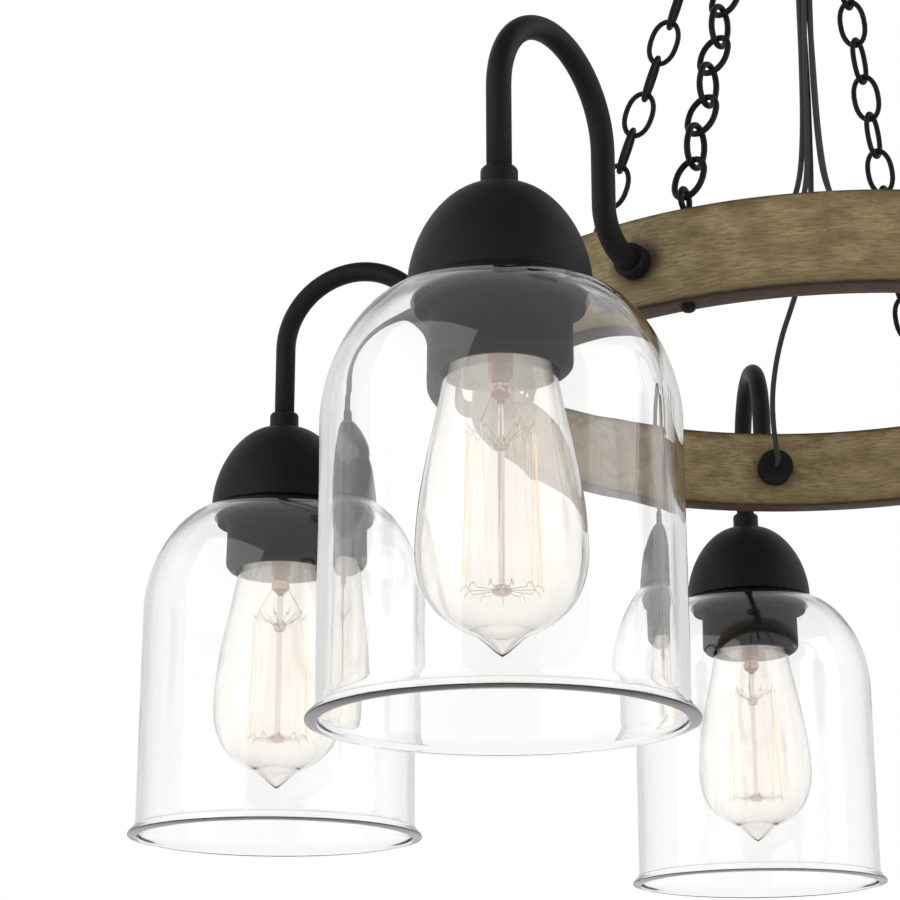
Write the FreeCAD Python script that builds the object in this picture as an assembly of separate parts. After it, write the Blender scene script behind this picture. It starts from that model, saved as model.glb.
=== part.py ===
# Ring chandelier: a wood-look hoop on four chains that meet at a hub under a ceiling canopy, with
# gooseneck arms round the hoop, each with a black cap, a clear bell shade and a screw-in filament bulb.
# Millimetres. The origin is the centre of the ceiling face and +Z points up.
import FreeCAD
import Part
import math
import os

Vec = FreeCAD.Vector
UP = Vec(0, 0, 1)
CENTRE = Vec(0, 0, 0)
FULL_TURN = 360.0  # degrees

# Fits
seat_gap = 0.1  # between pieces that are screwed or clamped face to face
slip_gap = 0.3  # round a piece that passes through a hole, and between chain links

# Ring band
ring_outer_r = 173.0
ring_wall = 13.0
ring_height = 41.0
ring_edge_round = 1.5

# Lights and gooseneck arms
light_count = 5
first_light_angle = -90.0
tube_d = 10.0
tube_wall = 1.4
bow_r = 38.5  # centre line of the gooseneck's top bow
root_bend_r = 18.0  # centre line of the bend into the ring
inner_leg = 23.0  # straight leg on the ring's side
outer_leg = 34.5  # straight leg above the collar
flange_d = 14.6
flange_length = 7.0
arm_nut_d = 18.4
arm_nut_length = 9.0
arm_nut_end_wall = 2.0
arm_nut_round = 1.5

# Collar and cap over each shade
collar_d = 14.6
collar_height = 9.0
collar_round = 2.0
cap_r = 35.5
cap_height = 43.0
cap_wall = 1.2

# Glass bell shade
shade_wall = 3.0
shade_hole_r = 21.0
shade_crown_r = 31.5
shade_r = 67.5
shade_shoulder = 52.0
shade_height = 162.0  # crown to the middle of the rim bead
shade_flare = 14.0
rim_bead_r = 2.5
rim_reach = 3.7  # how far the bead stands out past the wall
rim_bead_lean = 50.0  # where the wall runs into the bead, in degrees above its middle

# Screw socket and the cup that clamps the glass
socket_r = 19.5
socket_neck_r = 8.0
socket_neck_height = 7.0
socket_top_below_cap = 17.0
socket_length = 43.5
socket_bore_depth = 28.0
cup_flange_r = 33.0
cup_flange_t = 2.6
cup_web_t = 4.4
cup_r = 27.5
cup_wall = 1.6
cup_height = 28.4
cup_mouth_r = 22.5
cup_lip_round = 4.0

# Bulb, a long tapered shape on a 26 mm screw base
base_r = 12.9
base_wall = 0.6
base_length = 21.0
base_cone = 4.0
contact_r = 4.5
contact_height = 1.0
bulb_wall = 1.0
bulb_neck_length = 7.0  # the part of the neck inside the base
bulb_shoulder = 12.5
bulb_throat_r = 20.4
bulb_cone = 72.4
bulb_belly_r = 32.0
bulb_nose = 31.5  # belly to where the tip starts to hollow
bulb_nose_pull = 19.0
bulb_tip_r = 10.5
bulb_tip = 8.5
bulb_tip_lean = 29.5  # degrees
bulb_tip_spread = 12.6
bulb_tip_ease = 4.8
bulb_point_r = 1.6
bulb_point = 3.0
bulb_point_wall = 2.6  # glass at the pinched-off tip

# Stem and squirrel-cage filament inside the bulb
stem_flare_height = 4.0
stem_tube_r = 4.5
stem_length = 32.0
rod_r = 1.3
rod_length = 68.0
bead_r = 2.6
bead_drop = 12.0
cage_wire = 0.6
cage_strands = 12
cage_top_r = 12.0
cage_bottom_r = 14.5

# Chains: oval links of round wire, drawn with a six-sided section
ring_chain_count = 4
ring_chain_turn_angle = 6.9  # from the first light's arm to the first chain
ring_chain_cross_angle = 79.2  # between the two pairs of chains, each pair across the ring's middle
ring_chain_links = 17
link_wire = 2.8
link_pitch = 20.0
link_width = 17.6
main_chain_links = 6
main_wire = 3.8
main_pitch = 27.0
main_width = 22.0
link_sides = 6
link_end_steps = 6

# Eye bolts in the ring and eyes in the hub
eye_wire = 2.6
eye_hole_r = 3.4
eye_shank_d = 4.0
eye_nut_d = 6.0
eye_nut_height = 3.2

# Hub where the ring chains meet
hub_r = 14.0
hub_height = 26.0
hub_round = 3.0
hub_eye_shank = 5.0
hub_gland_depth = 8.0
loop_wire = 6.0
loop_hole_r = 9.0
loop_collar_r = 8.0
loop_collar_height = 5.0
loop_stem_r = 5.0
loop_stem_length = 8.0

# Ceiling canopy and what holds it
canopy_r = 63.5
canopy_depth = 27.0
canopy_wall = 1.2
canopy_flat_r = 24.0
canopy_neck_r = 10.0
canopy_neck_height = 22.0
canopy_collar_r = 14.0
canopy_collar_height = 8.0
canopy_collar_flutes = 16
canopy_flute_r = 0.9
strap_length = 104.0
strap_width = 20.0
strap_t = 2.0
strap_slot_width = 4.6
strap_slot_length = 15.0
strap_end_web = 4.75  # past each slot
nipple_d = 9.7
nipple_bore_d = 6.0
nipple_length = 28.0
lock_nut_across = 16.0
lock_nut_t = 3.5

# Lead wires, one from each arm nut to the hub
lead_d = 2.8
lead_bundle_r = 2.9
lead_tuck = 6.0  # the length inside the hub's gland
lead_lay_steps = 4
lead_lay_angle = 24.0  # degrees in a step
lead_gather_r = 16.0  # where the leads near the fixture's axis
lead_gather_rise = 79.0
lead_upturn_r = 7.0
lead_upturn_rise = 97.0
lead_join_ease = 1.0  # off the bundle, where a lead joins it
lead_join_rise = 125.0
lead_climb_rise = 165.0
lead_arc_share = 0.45  # of the shorter run beside each bend

# Places that follow from the sizes above
tube_r = tube_d / 2
ring_inner_r = ring_outer_r - ring_wall
ring_mid_r = ring_outer_r - ring_wall / 2
leg_r = ring_outer_r + flange_length + root_bend_r
light_circle_r = leg_r + 2 * bow_r
eye_centre_r = eye_hole_r + eye_wire / 2
eye_outer_r = eye_hole_r + eye_wire
loop_centre_r = loop_hole_r + loop_wire / 2
loop_seat = loop_centre_r + loop_collar_height  # loop's centre to the face its collar sits on
hub_eye_r = hub_r + seat_gap + eye_outer_r
strap_slot_spacing = strap_length - strap_slot_length - 2 * strap_end_web

# Heights, from the ceiling down
canopy_bottom_z = -canopy_depth
neck_bottom_z = canopy_bottom_z - seat_gap - canopy_collar_height - seat_gap
top_loop_z = neck_bottom_z - loop_seat
upper_pivot_z = top_loop_z - loop_centre_r
main_chain_top_z = upper_pivot_z + loop_wire / 2 + main_wire / 2 + slip_gap
main_link_span = main_pitch + main_wire + slip_gap
main_chain_bottom_z = main_chain_top_z - (main_chain_links - 1) * main_pitch - main_link_span
lower_pivot_z = main_chain_bottom_z + main_wire / 2 + loop_wire / 2 + slip_gap
hub_loop_z = lower_pivot_z - loop_centre_r
hub_top_z = hub_loop_z - loop_seat - seat_gap
hub_bottom_z = hub_top_z - hub_height
hub_eye_z = (hub_top_z + hub_bottom_z) / 2

# The ring hangs as far below the hub as its chains' links let it
eye_hold = eye_hole_r - link_wire / 2 - slip_gap
ring_link_span = link_pitch + link_wire + slip_gap
ring_chain_span = (ring_chain_links - 1) * link_pitch + ring_link_span + 2 * eye_hold
ring_chain_run = ring_mid_r - hub_eye_r
ring_chain_drop = math.sqrt(ring_chain_span ** 2 - ring_chain_run ** 2)
ring_eye_z = hub_eye_z - ring_chain_drop
ring_top_z = ring_eye_z - eye_outer_r - seat_gap
ring_bottom_z = ring_top_z - ring_height
arm_z = ring_bottom_z + ring_height / 2

# Each light, from its bow down
bow_z = arm_z + root_bend_r + inner_leg
collar_top_z = bow_z - outer_leg
cap_top_z = collar_top_z - collar_height
cap_bottom_z = cap_top_z - cap_height
crown_z = cap_bottom_z - slip_gap
rim_z = crown_z - shade_height
cup_top_z = crown_z - shade_wall - slip_gap
socket_top_z = cap_top_z - socket_top_below_cap
socket_bottom_z = socket_top_z - socket_length
socket_contact_z = socket_bottom_z + socket_bore_depth
base_top_z = socket_contact_z - slip_gap
base_bottom_z = base_top_z - contact_height - base_cone - base_length
neck_r = base_r - base_wall - slip_gap
neck_top_z = base_bottom_z + bulb_neck_length
throat_z = base_bottom_z - bulb_shoulder
belly_z = throat_z - bulb_cone
nose_z = belly_z - bulb_nose
tip_z = nose_z - bulb_tip


class Outline:
    """A closed outline in radius and height, drawn edge by edge and turned about the Z axis."""

    def __init__(self, r, z):
        self.start = Vec(r, 0, z)
        self.here = self.start
        self.edges = []

    def _add(self, curve, end):
        self.edges.append(curve.toShape())
        self.here = end
        return self

    def line(self, r, z):
        end = Vec(r, 0, z)
        return self._add(Part.LineSegment(self.here, end), end)

    def arc(self, mid_r, mid_z, r, z):
        end = Vec(r, 0, z)
        return self._add(Part.Arc(self.here, Vec(mid_r, 0, mid_z), end), end)

    def bezier(self, first, second, r, z):
        end = Vec(r, 0, z)
        curve = Part.BezierCurve()
        curve.setPoles([self.here, Vec(first[0], 0, first[1]), Vec(second[0], 0, second[1]), end])
        return self._add(curve, end)

    def quarter(self, r, z, upright_first):
        """A quarter ellipse to the point, leaving along Z or along the radius."""
        bend = 0.5523
        r0 = self.here.x
        z0 = self.here.z
        if upright_first:
            first = (r0, z0 + bend * (z - z0))
            second = (r + (1 - bend) * (r0 - r), z)
        else:
            first = (r0 + bend * (r - r0), z0)
            second = (r, z + (1 - bend) * (z0 - z))
        return self.bezier(first, second, r, z)

    def turned(self):
        if self.here.distanceToPoint(self.start) > 1e-6:
            self.line(self.start.x, self.start.z)
        return Part.Face(Part.Wire(self.edges)).revolve(CENTRE, UP, FULL_TURN)


def tube(outer_r, inner_r, low_z, high_z):
    """A plain turned tube or, with no inner radius, a rod."""
    body = Part.makeCylinder(outer_r, high_z - low_z, Vec(0, 0, low_z))
    if inner_r > 0:
        body = body.cut(Part.makeCylinder(inner_r, high_z - low_z, Vec(0, 0, low_z)))
    return body


def lying(shape):
    """A piece drawn along Z, laid along +X."""
    turned = shape.copy()
    turned.rotate(CENTRE, Vec(0, 1, 0), 90)
    return turned


def moved(shape, x=0.0, y=0.0, z=0.0):
    copy = shape.copy()
    copy.translate(Vec(x, y, z))
    return copy


def swung(shape, angle):
    """The piece turned about the fixture's axis."""
    copy = shape.copy()
    copy.rotate(CENTRE, UP, angle)
    return copy


def light_angle(index):
    return first_light_angle + FULL_TURN * index / light_count


def chain_angle(index):
    """The chains stand in two crossing pairs: one chain and its fellow across the ring, then the next two."""
    half_way = FULL_TURN * (index // 2) / (ring_chain_count // 2)
    return first_light_angle + ring_chain_turn_angle + ring_chain_cross_angle * (index % 2) + half_way


def at_light(shape, index):
    """A piece drawn about its light's axis, moved out to that light."""
    return swung(moved(shape, x=light_circle_r), light_angle(index))


def eye(normal):
    """A round wire eye about the origin."""
    return Part.makeTorus(eye_centre_r, eye_wire / 2, CENTRE, normal)


def ring_band():
    """The hoop, with a hole for each arm and each eye bolt."""
    half = ring_height / 2
    edge = ring_edge_round
    tuck = edge * (1 - math.sqrt(0.5))
    outline = Outline(ring_inner_r, -half)
    outline.line(ring_outer_r - edge, -half)
    outline.arc(ring_outer_r - tuck, -half + tuck, ring_outer_r, -half + edge)
    outline.line(ring_outer_r, half - edge)
    outline.arc(ring_outer_r - tuck, half - tuck, ring_outer_r - edge, half)
    outline.line(ring_inner_r, half)
    band = moved(outline.turned(), z=arm_z)
    bolt_hole = moved(tube(eye_shank_d / 2 + slip_gap, 0, -ring_height, ring_height), x=ring_mid_r)
    arm_hole = lying(Part.makeCylinder(tube_r + slip_gap, 2 * ring_outer_r))
    for index in range(light_count):
        band = band.cut(swung(moved(arm_hole, z=arm_z), light_angle(index)))
    for index in range(ring_chain_count):
        band = band.cut(swung(moved(bolt_hole, z=arm_z), chain_angle(index)))
    return band


def arm_nut_face_r():
    """Where a flat nut's edge meets the curved inner face of the ring."""
    return math.sqrt(ring_inner_r ** 2 - (arm_nut_d / 2) ** 2) - seat_gap


def swept(path, section_r):
    """A round rod along a wire of lines and arcs."""
    first = path.Edges[0]
    start = first.valueAt(first.FirstParameter)
    heading = first.tangentAt(first.FirstParameter)
    section = Part.Wire(Part.makeCircle(section_r, start, heading))
    return path.makePipeShell([section], True, True)


def arm():
    """Bent tube from inside the ring's nut, up over the bow and down into the socket's neck."""
    start_r = arm_nut_face_r() - arm_nut_length + arm_nut_end_wall + slip_gap
    end_z = socket_top_z + socket_neck_height / 2
    bend_start = Vec(leg_r - root_bend_r, 0, arm_z)
    bend_end = Vec(leg_r, 0, arm_z + root_bend_r)
    diagonal = root_bend_r * math.sqrt(0.5)
    bend_mid = Vec(leg_r - root_bend_r + diagonal, 0, arm_z + root_bend_r - diagonal)
    bow_start = Vec(leg_r, 0, bow_z)
    bow_top = Vec(leg_r + bow_r, 0, bow_z + bow_r)
    bow_end = Vec(light_circle_r, 0, bow_z)
    edges = [
        Part.LineSegment(Vec(start_r, 0, arm_z), bend_start).toShape(),
        Part.Arc(bend_start, bend_mid, bend_end).toShape(),
        Part.LineSegment(bend_end, bow_start).toShape(),
        Part.Arc(bow_start, bow_top, bow_end).toShape(),
        Part.LineSegment(bow_end, Vec(light_circle_r, 0, end_z)).toShape(),
    ]
    path = Part.Wire(edges)
    return swept(path, tube_r).cut(swept(path, tube_r - tube_wall))


def arm_flange():
    """The short sleeve against the ring's outer face."""
    sleeve = tube(flange_d / 2, tube_r + seat_gap, 0, flange_length - seat_gap)
    return moved(lying(sleeve), x=ring_outer_r + seat_gap, z=arm_z)


def arm_nut():
    """The round nut on the ring's inner face, with a hole in its end for the lead wire."""
    outer = arm_nut_d / 2
    lead_hole = lead_d / 2 + slip_gap
    outline = Outline(lead_hole, 0)
    outline.line(outer - arm_nut_round, 0)
    outline.quarter(outer, arm_nut_round, False)
    outline.line(outer, arm_nut_length)
    outline.line(tube_r + seat_gap, arm_nut_length)
    outline.line(tube_r + seat_gap, arm_nut_end_wall)
    outline.line(lead_hole, arm_nut_end_wall)
    return moved(lying(outline.turned()), x=arm_nut_face_r() - arm_nut_length, z=arm_z)


def collar():
    """The turned collar where the arm enters the cap."""
    bore = tube_r + seat_gap
    bottom = cap_top_z + seat_gap
    outline = Outline(bore, bottom)
    outline.line(collar_d / 2, bottom)
    outline.line(collar_d / 2, collar_top_z - collar_round)
    outline.quarter(collar_d / 2 - collar_round, collar_top_z, True)
    outline.line(bore, collar_top_z)
    return outline.turned()


def cap():
    """The domed cover over the socket, open below, with a hole for the arm."""
    bore = tube_r + slip_gap
    flat = collar_d / 2
    inner_top = cap_top_z - cap_wall
    outline = Outline(cap_r, cap_bottom_z)
    outline.quarter(flat, cap_top_z, True)
    outline.line(bore, cap_top_z)
    outline.line(bore, inner_top)
    outline.line(flat, inner_top)
    outline.quarter(cap_r - cap_wall, cap_bottom_z, False)
    return outline.turned()


def shade():
    """The glass bell: a flat holed crown, a round shoulder, a straight wall and a flared, beaded rim."""
    inner_r = shade_r - shade_wall
    shoulder_z = crown_z - shade_shoulder
    flare_z = rim_z + shade_flare
    bead_r = shade_r + rim_reach - rim_bead_r
    lean = math.radians(rim_bead_lean)
    top_r = bead_r + rim_bead_r * math.cos(lean)
    top_z = rim_z + rim_bead_r * math.sin(lean)
    outline = Outline(shade_hole_r, crown_z)
    outline.line(shade_crown_r, crown_z)
    outline.quarter(shade_r, shoulder_z, False)
    outline.line(shade_r, flare_z)
    outline.bezier((shade_r, flare_z - shade_flare / 2), (top_r, top_z + shade_flare / 4), top_r, top_z)
    outline.arc(bead_r, rim_z - rim_bead_r, bead_r - rim_bead_r, rim_z)
    outline.bezier(
        (bead_r - rim_bead_r, rim_z + shade_flare / 4),
        (inner_r, flare_z - shade_flare / 2),
        inner_r,
        flare_z,
    )
    outline.line(inner_r, shoulder_z)
    outline.quarter(shade_crown_r, crown_z - shade_wall, True)
    outline.line(shade_hole_r, crown_z - shade_wall)
    return outline.turned()


def socket_cup():
    """The black cup that screws onto the socket and clamps the glass with its flange."""
    bore = socket_r + slip_gap
    bottom = cup_top_z - cup_height
    inner = cup_r - cup_wall
    inner_round = cup_lip_round - cup_wall
    outline = Outline(bore, cup_top_z)
    outline.line(cup_flange_r, cup_top_z)
    outline.line(cup_flange_r, cup_top_z - cup_flange_t)
    outline.line(cup_r, cup_top_z - cup_flange_t)
    outline.line(cup_r, bottom + cup_lip_round)
    outline.quarter(cup_r - cup_lip_round, bottom, True)
    outline.line(cup_mouth_r, bottom)
    outline.line(cup_mouth_r, bottom + cup_wall)
    outline.line(inner - inner_round, bottom + cup_wall)
    outline.quarter(inner, bottom + cup_lip_round, False)
    outline.line(inner, cup_top_z - cup_web_t)
    outline.line(bore, cup_top_z - cup_web_t)
    return outline.turned()


def socket():
    """The screw socket, hung on the arm's end, with its bore open below."""
    bore = base_r + slip_gap
    neck_bore = tube_r + seat_gap
    neck_top = socket_top_z + socket_neck_height
    outline = Outline(bore, socket_bottom_z)
    outline.line(socket_r, socket_bottom_z)
    outline.line(socket_r, socket_top_z)
    outline.line(socket_neck_r, socket_top_z)
    outline.line(socket_neck_r, neck_top)
    outline.line(neck_bore, neck_top)
    outline.line(neck_bore, socket_top_z)
    outline.line(0, socket_top_z)
    outline.line(0, socket_contact_z)
    outline.line(bore, socket_contact_z)
    return outline.turned()


def bulb_base():
    """The screw shell with its insulating cone and end contact."""
    shell_top = base_bottom_z + base_length
    cone_top = shell_top + base_cone
    outline = Outline(base_r, base_bottom_z)
    outline.line(base_r, shell_top)
    outline.line(contact_r, cone_top)
    outline.line(contact_r, base_top_z)
    outline.line(0, base_top_z)
    outline.line(0, shell_top)
    outline.line(base_r - base_wall, shell_top)
    outline.line(base_r - base_wall, base_bottom_z)
    return outline.turned()


def bulb_form(inset):
    """The bulb's outer form, or its inner one when it is set in by the wall."""
    neck = neck_r - inset
    throat = bulb_throat_r - inset
    belly = bulb_belly_r - inset
    lean_down = math.radians(bulb_tip_lean)
    nose_r = bulb_tip_r - inset * math.sin(lean_down)
    nose = nose_z + inset * math.cos(lean_down)
    tip = tip_z + inset * bulb_point_wall / bulb_wall
    outline = Outline(0, neck_top_z)
    outline.line(neck, neck_top_z)
    outline.line(neck, base_bottom_z)
    lean = (belly - throat) / bulb_cone
    outline.bezier(
        (neck, base_bottom_z - bulb_shoulder / 3),
        (throat - lean * bulb_shoulder / 2, throat_z + bulb_shoulder / 2),
        throat,
        throat_z,
    )
    outline.bezier(
        (throat + lean * bulb_cone / 3, throat_z - bulb_cone / 3),
        (belly, belly_z + bulb_cone / 3),
        belly,
        belly_z,
    )
    out = math.cos(lean_down)
    down = math.sin(lean_down)
    outline.bezier(
        (belly, belly_z - bulb_nose_pull),
        (nose_r + bulb_tip_spread * out, nose + bulb_tip_spread * down),
        nose_r,
        nose,
    )
    outline.bezier(
        (nose_r - bulb_tip_ease * out, nose - bulb_tip_ease * down),
        (bulb_point_r, tip + bulb_point),
        0,
        tip,
    )
    return outline.turned()


def bulb_glass():
    return bulb_form(0).cut(bulb_form(bulb_wall))


def thin_rod(start, end):
    """A straight wire of square section."""
    along = end - start
    length = along.Length
    rod = Part.makeBox(cage_wire, cage_wire, length, Vec(-cage_wire / 2, -cage_wire / 2, 0))
    rod.Placement = FreeCAD.Placement(start, FreeCAD.Rotation(UP, along))
    return rod


def around(radius, angle, z):
    return Vec(radius * math.cos(math.radians(angle)), radius * math.sin(math.radians(angle)), z)


def filament():
    """The glass stem with its rod, and the cage of filament strands between two spiders of wire."""
    flare_r = neck_r - bulb_wall - slip_gap
    flare_z = base_bottom_z - stem_flare_height
    stem_end = base_bottom_z - stem_length
    rod_end = stem_end - rod_length
    outline = Outline(0, base_bottom_z)
    outline.line(flare_r, base_bottom_z)
    outline.quarter(stem_tube_r, flare_z, False)
    outline.line(stem_tube_r, stem_end + stem_tube_r)
    outline.quarter(rod_r, stem_end, True)
    outline.line(rod_r, rod_end)
    outline.line(0, rod_end)
    pieces = [Part.makeSphere(bead_r, Vec(0, 0, stem_end - bead_drop))]
    spiders = ((stem_end - bead_drop, cage_top_r, 0.0), (rod_end + rod_r, cage_bottom_r, 0.5))
    for level, radius, turn in spiders:
        for index in range(cage_strands // 2):
            angle = 720.0 * (index + turn) / cage_strands
            pieces.append(thin_rod(Vec(0, 0, level), around(radius, angle, level)))
    top, bottom = spiders
    for index in range(cage_strands):
        high = around(top[1], 720.0 * ((index + 1) // 2) / cage_strands, top[0])
        low = around(bottom[1], 720.0 * (index // 2 + bottom[2]) / cage_strands, bottom[0])
        pieces.append(thin_rod(high, low))
    return outline.turned().multiFuse(pieces)


def link(wire, pitch, width):
    """One oval link in the XZ plane, its length along Z, with flat facets for its bends and its wire."""
    bend_r = (width - wire) / 2
    half = (pitch + wire + slip_gap) / 2 - bend_r
    turn = math.pi / link_end_steps
    stretch = 1 / math.cos(turn / 2)
    rings = []
    for middle, side in ((half, 0.0), (-half, math.pi)):
        for step in range(link_end_steps):
            lean = side + turn * (step + 0.5)
            ring = []
            for corner in range(link_sides):
                around_wire = 2 * math.pi * (corner + 0.5) / link_sides
                reach = (bend_r + wire / 2 * math.cos(around_wire)) * stretch
                aside = wire / 2 * math.sin(around_wire)
                ring.append(Vec(reach * math.cos(lean), aside, middle + reach * math.sin(lean)))
            rings.append(ring)
    faces = []
    for this, after in zip(rings, rings[1:] + rings[:1]):
        for corner in range(link_sides):
            beyond = (corner + 1) % link_sides
            loop = [this[corner], this[beyond], after[beyond], after[corner], this[corner]]
            faces.append(Part.Face(Part.makePolygon(loop)))
    return Part.makeSolid(Part.makeShell(faces))


def chain(wire, pitch, width, count, start, along, side):
    """Links from the start point on, each turned a quarter from the one before, the first across side."""
    first = link(wire, pitch, width)
    other = along.cross(side)
    half_span = (pitch + wire + slip_gap) / 2
    links = []
    for index in range(count):
        across = side if index % 2 == 0 else other
        turn = FreeCAD.Rotation(across, Vec(0, 0, 0), along, "ZXY")
        piece = first.copy()
        piece.Placement = FreeCAD.Placement(start + along * (half_span + pitch * index), turn)
        links.append(piece)
    return links


def ring_chain(index):
    """One chain, from its eye bolt in the ring to its eye in the hub."""
    low = Vec(ring_mid_r, 0, ring_eye_z)
    along = (Vec(hub_eye_r, 0, hub_eye_z) - low).normalize()
    start = low + along * eye_hold
    aside = Vec(0, 1, 0)
    links = chain(link_wire, link_pitch, link_width, ring_chain_links, start, along, aside)
    return swung(Part.makeCompound(links), chain_angle(index))


def main_chain():
    """The suspension chain, from the canopy's loop down to the hub's loop."""
    start = Vec(0, 0, main_chain_top_z)
    aside = Vec(0, 1, 0)
    links = chain(main_wire, main_pitch, main_width, main_chain_links, start, UP * -1, aside)
    return Part.makeCompound(links)


def eye_bolt():
    """An eye above the ring on a shank that goes right through it."""
    low = ring_bottom_z - eye_nut_height / 2
    high = ring_eye_z - eye_hole_r - eye_wire / 2
    shank = tube(eye_shank_d / 2, 0, low, high)
    return moved(moved(eye(Vec(0, 1, 0)), z=ring_eye_z).fuse(shank), x=ring_mid_r)


def eye_nut():
    """The small domed nut below the ring."""
    top = ring_bottom_z - seat_gap
    bore = eye_shank_d / 2 + seat_gap
    bore_end = ring_bottom_z - eye_nut_height / 2 - seat_gap
    outline = Outline(eye_nut_d / 2, top)
    outline.line(eye_nut_d / 2, bore_end)
    outline.quarter(0, top - eye_nut_height, True)
    outline.line(0, bore_end)
    outline.line(bore, bore_end)
    outline.line(bore, top)
    return moved(outline.turned(), x=ring_mid_r)


def hub_eye():
    """An eye at the hub's side, on a short shank screwed into it."""
    inner = hub_eye_r - eye_centre_r
    length = seat_gap + eye_wire / 2 + hub_eye_shank
    shank = moved(lying(tube(eye_shank_d / 2, 0, 0, length)), x=inner - length)
    return moved(moved(eye(Vec(0, 1, 0)), x=hub_eye_r).fuse(shank), z=hub_eye_z)


def hub():
    """The turned hub, bored for its eyes, its top loop and the leads' gland."""
    gland_r = lead_bundle_r + lead_d / 2 + slip_gap
    stem_bore = loop_stem_r + seat_gap
    gland_top = hub_bottom_z + hub_gland_depth
    stem_low = hub_top_z - loop_stem_length - seat_gap
    outline = Outline(gland_r, hub_bottom_z)
    outline.line(hub_r - hub_round, hub_bottom_z)
    outline.quarter(hub_r, hub_bottom_z + hub_round, False)
    outline.line(hub_r, hub_top_z - hub_round)
    outline.quarter(hub_r - hub_round, hub_top_z, True)
    outline.line(stem_bore, hub_top_z)
    outline.line(stem_bore, stem_low)
    outline.line(0, stem_low)
    outline.line(0, gland_top)
    outline.line(gland_r, gland_top)
    body = outline.turned()
    bore_start = hub_r - hub_eye_shank - seat_gap
    bore = moved(lying(tube(eye_shank_d / 2 + seat_gap, 0, bore_start, 2 * hub_r)), z=hub_eye_z)
    for index in range(ring_chain_count):
        body = body.cut(swung(bore, chain_angle(index)))
    return body


def hub_loop():
    """The closed loop on the hub, with a collar and a stem."""
    ring = Part.makeTorus(loop_centre_r, loop_wire / 2, Vec(0, 0, hub_loop_z), Vec(1, 0, 0))
    seat = hub_top_z + seat_gap
    collar_part = tube(loop_collar_r, 0, seat, seat + loop_collar_height)
    stem = tube(loop_stem_r, 0, hub_top_z - loop_stem_length, seat)
    return ring.multiFuse([collar_part, stem])


def canopy_loop():
    """The closed loop under the canopy, with the neck that the canopy's collar screws onto."""
    ring = Part.makeTorus(loop_centre_r, loop_wire / 2, Vec(0, 0, top_loop_z), Vec(0, 1, 0))
    neck_top = neck_bottom_z + canopy_neck_height
    shoulder = tube(canopy_collar_r, 0, neck_bottom_z - loop_collar_height, neck_bottom_z)
    neck = tube(canopy_neck_r, nipple_d / 2 + seat_gap, neck_bottom_z, neck_top)
    return ring.multiFuse([shoulder, neck])


def canopy_collar():
    """The fluted screw collar that holds the canopy up."""
    low = neck_bottom_z + seat_gap
    body = tube(canopy_collar_r, canopy_neck_r + seat_gap, low, low + canopy_collar_height)
    flute = tube(canopy_flute_r, 0, low, low + canopy_collar_height)
    flute = moved(flute, x=canopy_collar_r + canopy_flute_r / 2)
    for index in range(canopy_collar_flutes):
        body = body.cut(swung(flute, FULL_TURN * index / canopy_collar_flutes))
    return body


def canopy():
    """The pressed dish that covers the ceiling box."""
    bore = canopy_neck_r + slip_gap
    inner_bottom = canopy_bottom_z + canopy_wall
    outline = Outline(canopy_r, 0)
    outline.quarter(canopy_flat_r, canopy_bottom_z, True)
    outline.line(bore, canopy_bottom_z)
    outline.line(bore, inner_bottom)
    outline.line(canopy_flat_r, inner_bottom)
    outline.quarter(canopy_r - canopy_wall, 0, False)
    return outline.turned()


def mounting_strap():
    """The flat bar against the ceiling box, with two screw slots and a hole for the nipple."""
    bar = Part.makeBox(strap_length, strap_width, strap_t, Vec(-strap_length / 2, -strap_width / 2, -strap_t))
    bar = bar.cut(tube(nipple_d / 2 + seat_gap, 0, -strap_t, 0))
    end_r = strap_slot_width / 2
    half = (strap_slot_length - strap_slot_width) / 2
    slot = Part.makeBox(2 * half, strap_slot_width, strap_t, Vec(-half, -end_r, -strap_t))
    for side in (-1, 1):
        slot = slot.fuse(moved(tube(end_r, 0, -strap_t, 0), x=side * half))
    slot = slot.removeSplitter()
    for side in (-1, 1):
        bar = bar.cut(moved(slot, x=side * strap_slot_spacing / 2))
    return bar


def nipple():
    """The threaded tube between the strap and the canopy's loop."""
    return tube(nipple_d / 2, nipple_bore_d / 2, -strap_t - nipple_length, -strap_t / 2)


def lock_nut():
    """The hexagon nut that locks the nipple under the strap."""
    corner_r = lock_nut_across / 2 / math.cos(math.pi / 6)
    points = [around(corner_r, 60 * index, 0) for index in range(7)]
    body = Part.Face(Part.makePolygon(points)).extrude(Vec(0, 0, lock_nut_t))
    body = body.cut(tube(nipple_d / 2 + seat_gap, 0, 0, lock_nut_t))
    return moved(body, z=-strap_t - seat_gap - lock_nut_t)


def lead_route():
    """The lead's points from the arm nut to the hub, out, aside and up, chosen by hand."""
    start_r = arm_nut_face_r() - arm_nut_length + arm_nut_end_wall
    rise = [
        (start_r, 0.0, 0.0),
        (start_r - 8.0, 0.0, 0.0),
        (start_r - 17.0, 2.0, 3.5),
        (start_r - 25.0, 4.5, 13.0),
        (start_r - 30.5, 5.5, 27.5),
        (start_r - 41.0, 5.0, 41.0),
        (start_r - 62.0, 4.0, 52.0),
        (start_r - 90.0, 2.5, 58.5),
        (start_r - 115.0, 0.8, 67.5),
    ]
    points = [Vec(out, aside, arm_z + height) for out, aside, height in rise]
    points.append(Vec(lead_gather_r, 0.0, arm_z + lead_gather_rise))
    points.append(Vec(lead_upturn_r, 0.0, arm_z + lead_upturn_rise))
    points.append(Vec(lead_bundle_r + lead_join_ease, 0.0, arm_z + lead_join_rise))
    climb_z = arm_z + lead_climb_rise
    end_z = hub_bottom_z + lead_tuck
    for step in range(lead_lay_steps + 1):
        height = climb_z + (end_z - climb_z) * step / lead_lay_steps
        points.append(around(lead_bundle_r, lead_lay_angle * step, height))
    return points


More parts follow.
